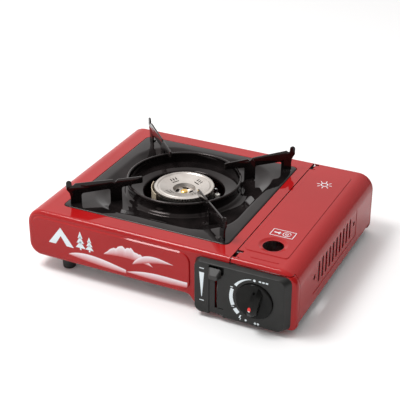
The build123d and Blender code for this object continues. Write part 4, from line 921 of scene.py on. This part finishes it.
def ridge(s, height):
    """A broken mountain line: a hump with three triangle waves of (count, shift, size) on it."""
    waves = ((5, 0.2, 7), (11, 0.6, 3), (23, 0.1, 1.2))
    peaks = sum(np.abs((s * count + shift) % 1 - 0.5) * size for count, shift, size in waves)
    return swell(s, height, 0.9) + peaks * np.sin(np.pi * s)


landscape_band(
    "dune_far",
    57,
    133,
    foot=lambda s: 5.0 - 6.0 * s - swell(s, 1.5),
    crest=lambda s: 5.2 - 1.5 * s + swell(s, 6.5, 0.7),
)
landscape_band(
    "dune_near",
    134,
    211,
    foot=lambda s: 1.5 - swell(s, 1.5),
    crest=lambda s: 1.7 + 6.5 * s**3 + swell(s, 6.0, 0.9),
)
landscape_band(
    "ridge_left",
    104,
    168,
    foot=lambda s: 17.5 - 1.0 * s + swell(s, 3.0),
    crest=lambda s: 17.5 - s + ridge(s, 14),
)
landscape_band(
    "ridge_right",
    142,
    194,
    foot=lambda s: 14 + 12.0 * s + swell(s, 2),
    crest=lambda s: 14 + 12.0 * s + swell(s, 11, 0.7),
    layer=1,
)
print("landscape printed")

# %% [markdown]
# ### Tent and trees
# A tent with an open door stands by two fir trees, as a plain sign for camping. Each is a band
# between a lower and an upper line, so the door is simply where the lower line rises.

# %% Tent and trees
SIGN_LEFT = scene_left + 30 * MM
SIGN_GROUND = case_low[2] + 37 * MM


def front_sign(name, start, width, foot, crest):
    """A white sign on the front, start and width in mm, foot and crest as functions of a share."""
    s = np.linspace(0, 1, 41)
    x = SIGN_LEFT + (start + width * s) * MM
    low = SIGN_GROUND + foot(s) * MM
    high = SIGN_GROUND + np.maximum(crest(s), foot(s) + 0.2) * MM
    grid_x, grid_z = band(x, low, high)
    return thin_print("sign_" + name, on_front(grid_x, grid_z, front_y - INK_PROUD), INTO_CASE, ink, "case")


def roof(s, height):
    """Two straight slopes that meet in the middle."""
    return height * (1 - np.abs(2 * s - 1))


front_sign("tent", 0, 34, lambda s: np.maximum(0, 12 - 55 * np.abs(s - 0.5)), lambda s: roof(s, 23))
for name, start, width, height in (("fir_tall", 37, 13, 9), ("fir_short", 50, 11, 7)):
    for tier in range(3):
        shrink = 0.5 * tier * width / 4
        front_sign(
            f"{name}_{tier}",
            start + shrink,
            width - 2 * shrink,
            lambda s, tier=tier, height=height: np.full_like(s, 2.5 + tier * height * 0.72),
            lambda s, tier=tier, height=height: 2.5 + tier * height * 0.72 + roof(s, height),
        )
    trunk = start + width / 2 - 1
    front_sign(name + "_trunk", trunk, 2, lambda s: np.zeros_like(s), lambda s: np.full_like(s, 2.3))
print("signs printed")

# %% [markdown]
# ### Marks on the lid
# A framed sign behind the finger hole shows which way round the cartridge lies, and a small
# sun stands near the back. Lines are drawn as bands of even width along a path.

# %% Lid marks
lid_low, lid_high = (np.array(corner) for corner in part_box("cartridge_lid"))
INTO_LID = (0, 0, -0.10 * MM)
lid_ink_z = lid_high[2] + INK_PROUD
lid_middle = lid_low[0] + 32 * MM


def lid_line(name, x, y, width=0.7):
    """A printed line on the lid along arrays of x and y in mm from the lid's own middle line."""
    path = np.stack([np.asarray(x, float), np.asarray(y, float)], -1)
    along = np.gradient(path, axis=0)
    along /= np.linalg.norm(along, axis=1, keepdims=True)
    side = np.stack([-along[:, 1], along[:, 0]], -1) * width / 2
    sides = np.stack([path - side, path + side], 1) * MM
    x, y = lid_middle + sides[..., 0], lid_low[1] + sides[..., 1]
    top = np.stack([x, y, np.full_like(x, lid_ink_z)], -1)
    return thin_print("lid_" + name, top, INTO_LID, ink, "lid")


FRAME_X = (-14.0, 13.0)
FRAME_Y = (66.0, 80.0)
lid_line("frame_front", FRAME_X, (FRAME_Y[0],) * 2)
lid_line("frame_back", FRAME_X, (FRAME_Y[1],) * 2)
lid_line("frame_left", (FRAME_X[0],) * 2, FRAME_Y)
lid_line("frame_right", (FRAME_X[1],) * 2, FRAME_Y)
CAN_X, CAN_Y = 4, 73
round_turn = np.linspace(0.15, 2 * np.pi - 0.15, 40)
lid_line("can_end", CAN_X + 4.5 * np.cos(round_turn), CAN_Y + 4.5 * np.sin(round_turn))
lid_line("can_valve", CAN_X + 1.6 * np.cos(round_turn), CAN_Y + 1.6 * np.sin(round_turn))
lid_line("arrow", (-11, -9, -6, -3), (CAN_Y,) * 4, 1.6)
lid_line("arrow_head_a", (-5.5, -3.2), (CAN_Y + 2.4, CAN_Y), 1.2)
lid_line("arrow_head_b", (-5.5, -3.2), (CAN_Y - 2.4, CAN_Y), 1.2)

# %% Sun on the lid
SUN_Y = 205.0
lid_line("sun", 4.0 * np.cos(round_turn), SUN_Y + 4.0 * np.sin(round_turn), 1.2)
for ray in range(8):
    turn = ray * np.pi / 4
    reach = np.array([6.0, 9.5])
    lid_line(f"sun_ray_{ray}", reach * np.cos(turn), SUN_Y + reach * np.sin(turn), 1.0)
print("lid marked")

# %% [markdown]
# ## Floor and light
# A pale floor runs out to a pale room. The room's light comes from all round and is strongest
# behind and above, because that is what the glossy tops mirror. One broad panel overhead
# makes the top planes a little brighter than the upright ones and lays a soft shadow.

# %% Floor
FLOOR_SIZE = 6.0
floor_side = np.linspace(-FLOOR_SIZE, FLOOR_SIZE, 5)
floor_x, floor_y = np.meshgrid(floor_side, floor_side, indexing="ij")
floor_mesh = bpy.data.meshes.new("floor")
floor_points = np.stack([floor_x, floor_y, np.zeros_like(floor_x)], -1)
floor_mesh.from_pydata(floor_points.reshape(-1, 3).tolist(), [], grid_faces(5, 5).tolist())
floor = bpy.data.objects.new("floor", floor_mesh)
bpy.context.scene.collection.objects.link(floor)
floor_finish, _, floor_shader, _ = start_finish("pale floor", Roughness=0.9, Specular_IOR_Level=0.1)
floor_shader.inputs["Base Color"].default_value = (0.93, 0.93, 0.93, 1)
floor_mesh.materials.append(floor_finish)
print("the floor is", 2 * FLOOR_SIZE, "m wide")

# %% [markdown]
# The room is one background whose strength depends on the direction looked in: the more a
# direction agrees with the bright side, behind and to the left and high up, the brighter.

# %% Room light
BRIGHT_SIDE = (-0.78, 0.30, 0.55)
DIM_STRENGTH = 0.14
BRIGHT_STRENGTH = 1.25
world = bpy.data.worlds.new("pale room")
bpy.context.scene.world = world
world.use_nodes = True
room = world.node_tree
backdrop = room.nodes["Background"]
direction = room.nodes.new("ShaderNodeTexCoord")
towards = room.nodes.new("ShaderNodeVectorMath")
towards.operation = "DOT_PRODUCT"
towards.inputs[1].default_value = BRIGHT_SIDE
room.links.new(direction.outputs["Generated"], towards.inputs[0])
falloff = room.nodes.new("ShaderNodeMapRange")
falloff.inputs["From Min"].default_value = -0.5
falloff.inputs["From Max"].default_value = 0.9
falloff.inputs["To Min"].default_value = DIM_STRENGTH
falloff.inputs["To Max"].default_value = BRIGHT_STRENGTH
room.links.new(towards.outputs["Value"], falloff.inputs["Value"])
room.links.new(falloff.outputs["Result"], backdrop.inputs["Strength"])
backdrop.inputs["Color"].default_value = (1.0, 0.99, 0.985, 1)

# %% Overhead panel
PANEL_PLACE = Vector((-0.62, -0.42, 1.50))
panel_light = bpy.data.lights.new("overhead", "AREA")
panel_light.size = 0.55
panel_light.energy = 16.5
lamp = bpy.data.objects.new("overhead", panel_light)
lamp.location = PANEL_PLACE
lamp.rotation_euler = (-PANEL_PLACE).to_track_quat("-Z", "Y").to_euler()
bpy.context.scene.collection.objects.link(lamp)
print("the room and its overhead panel are lit")
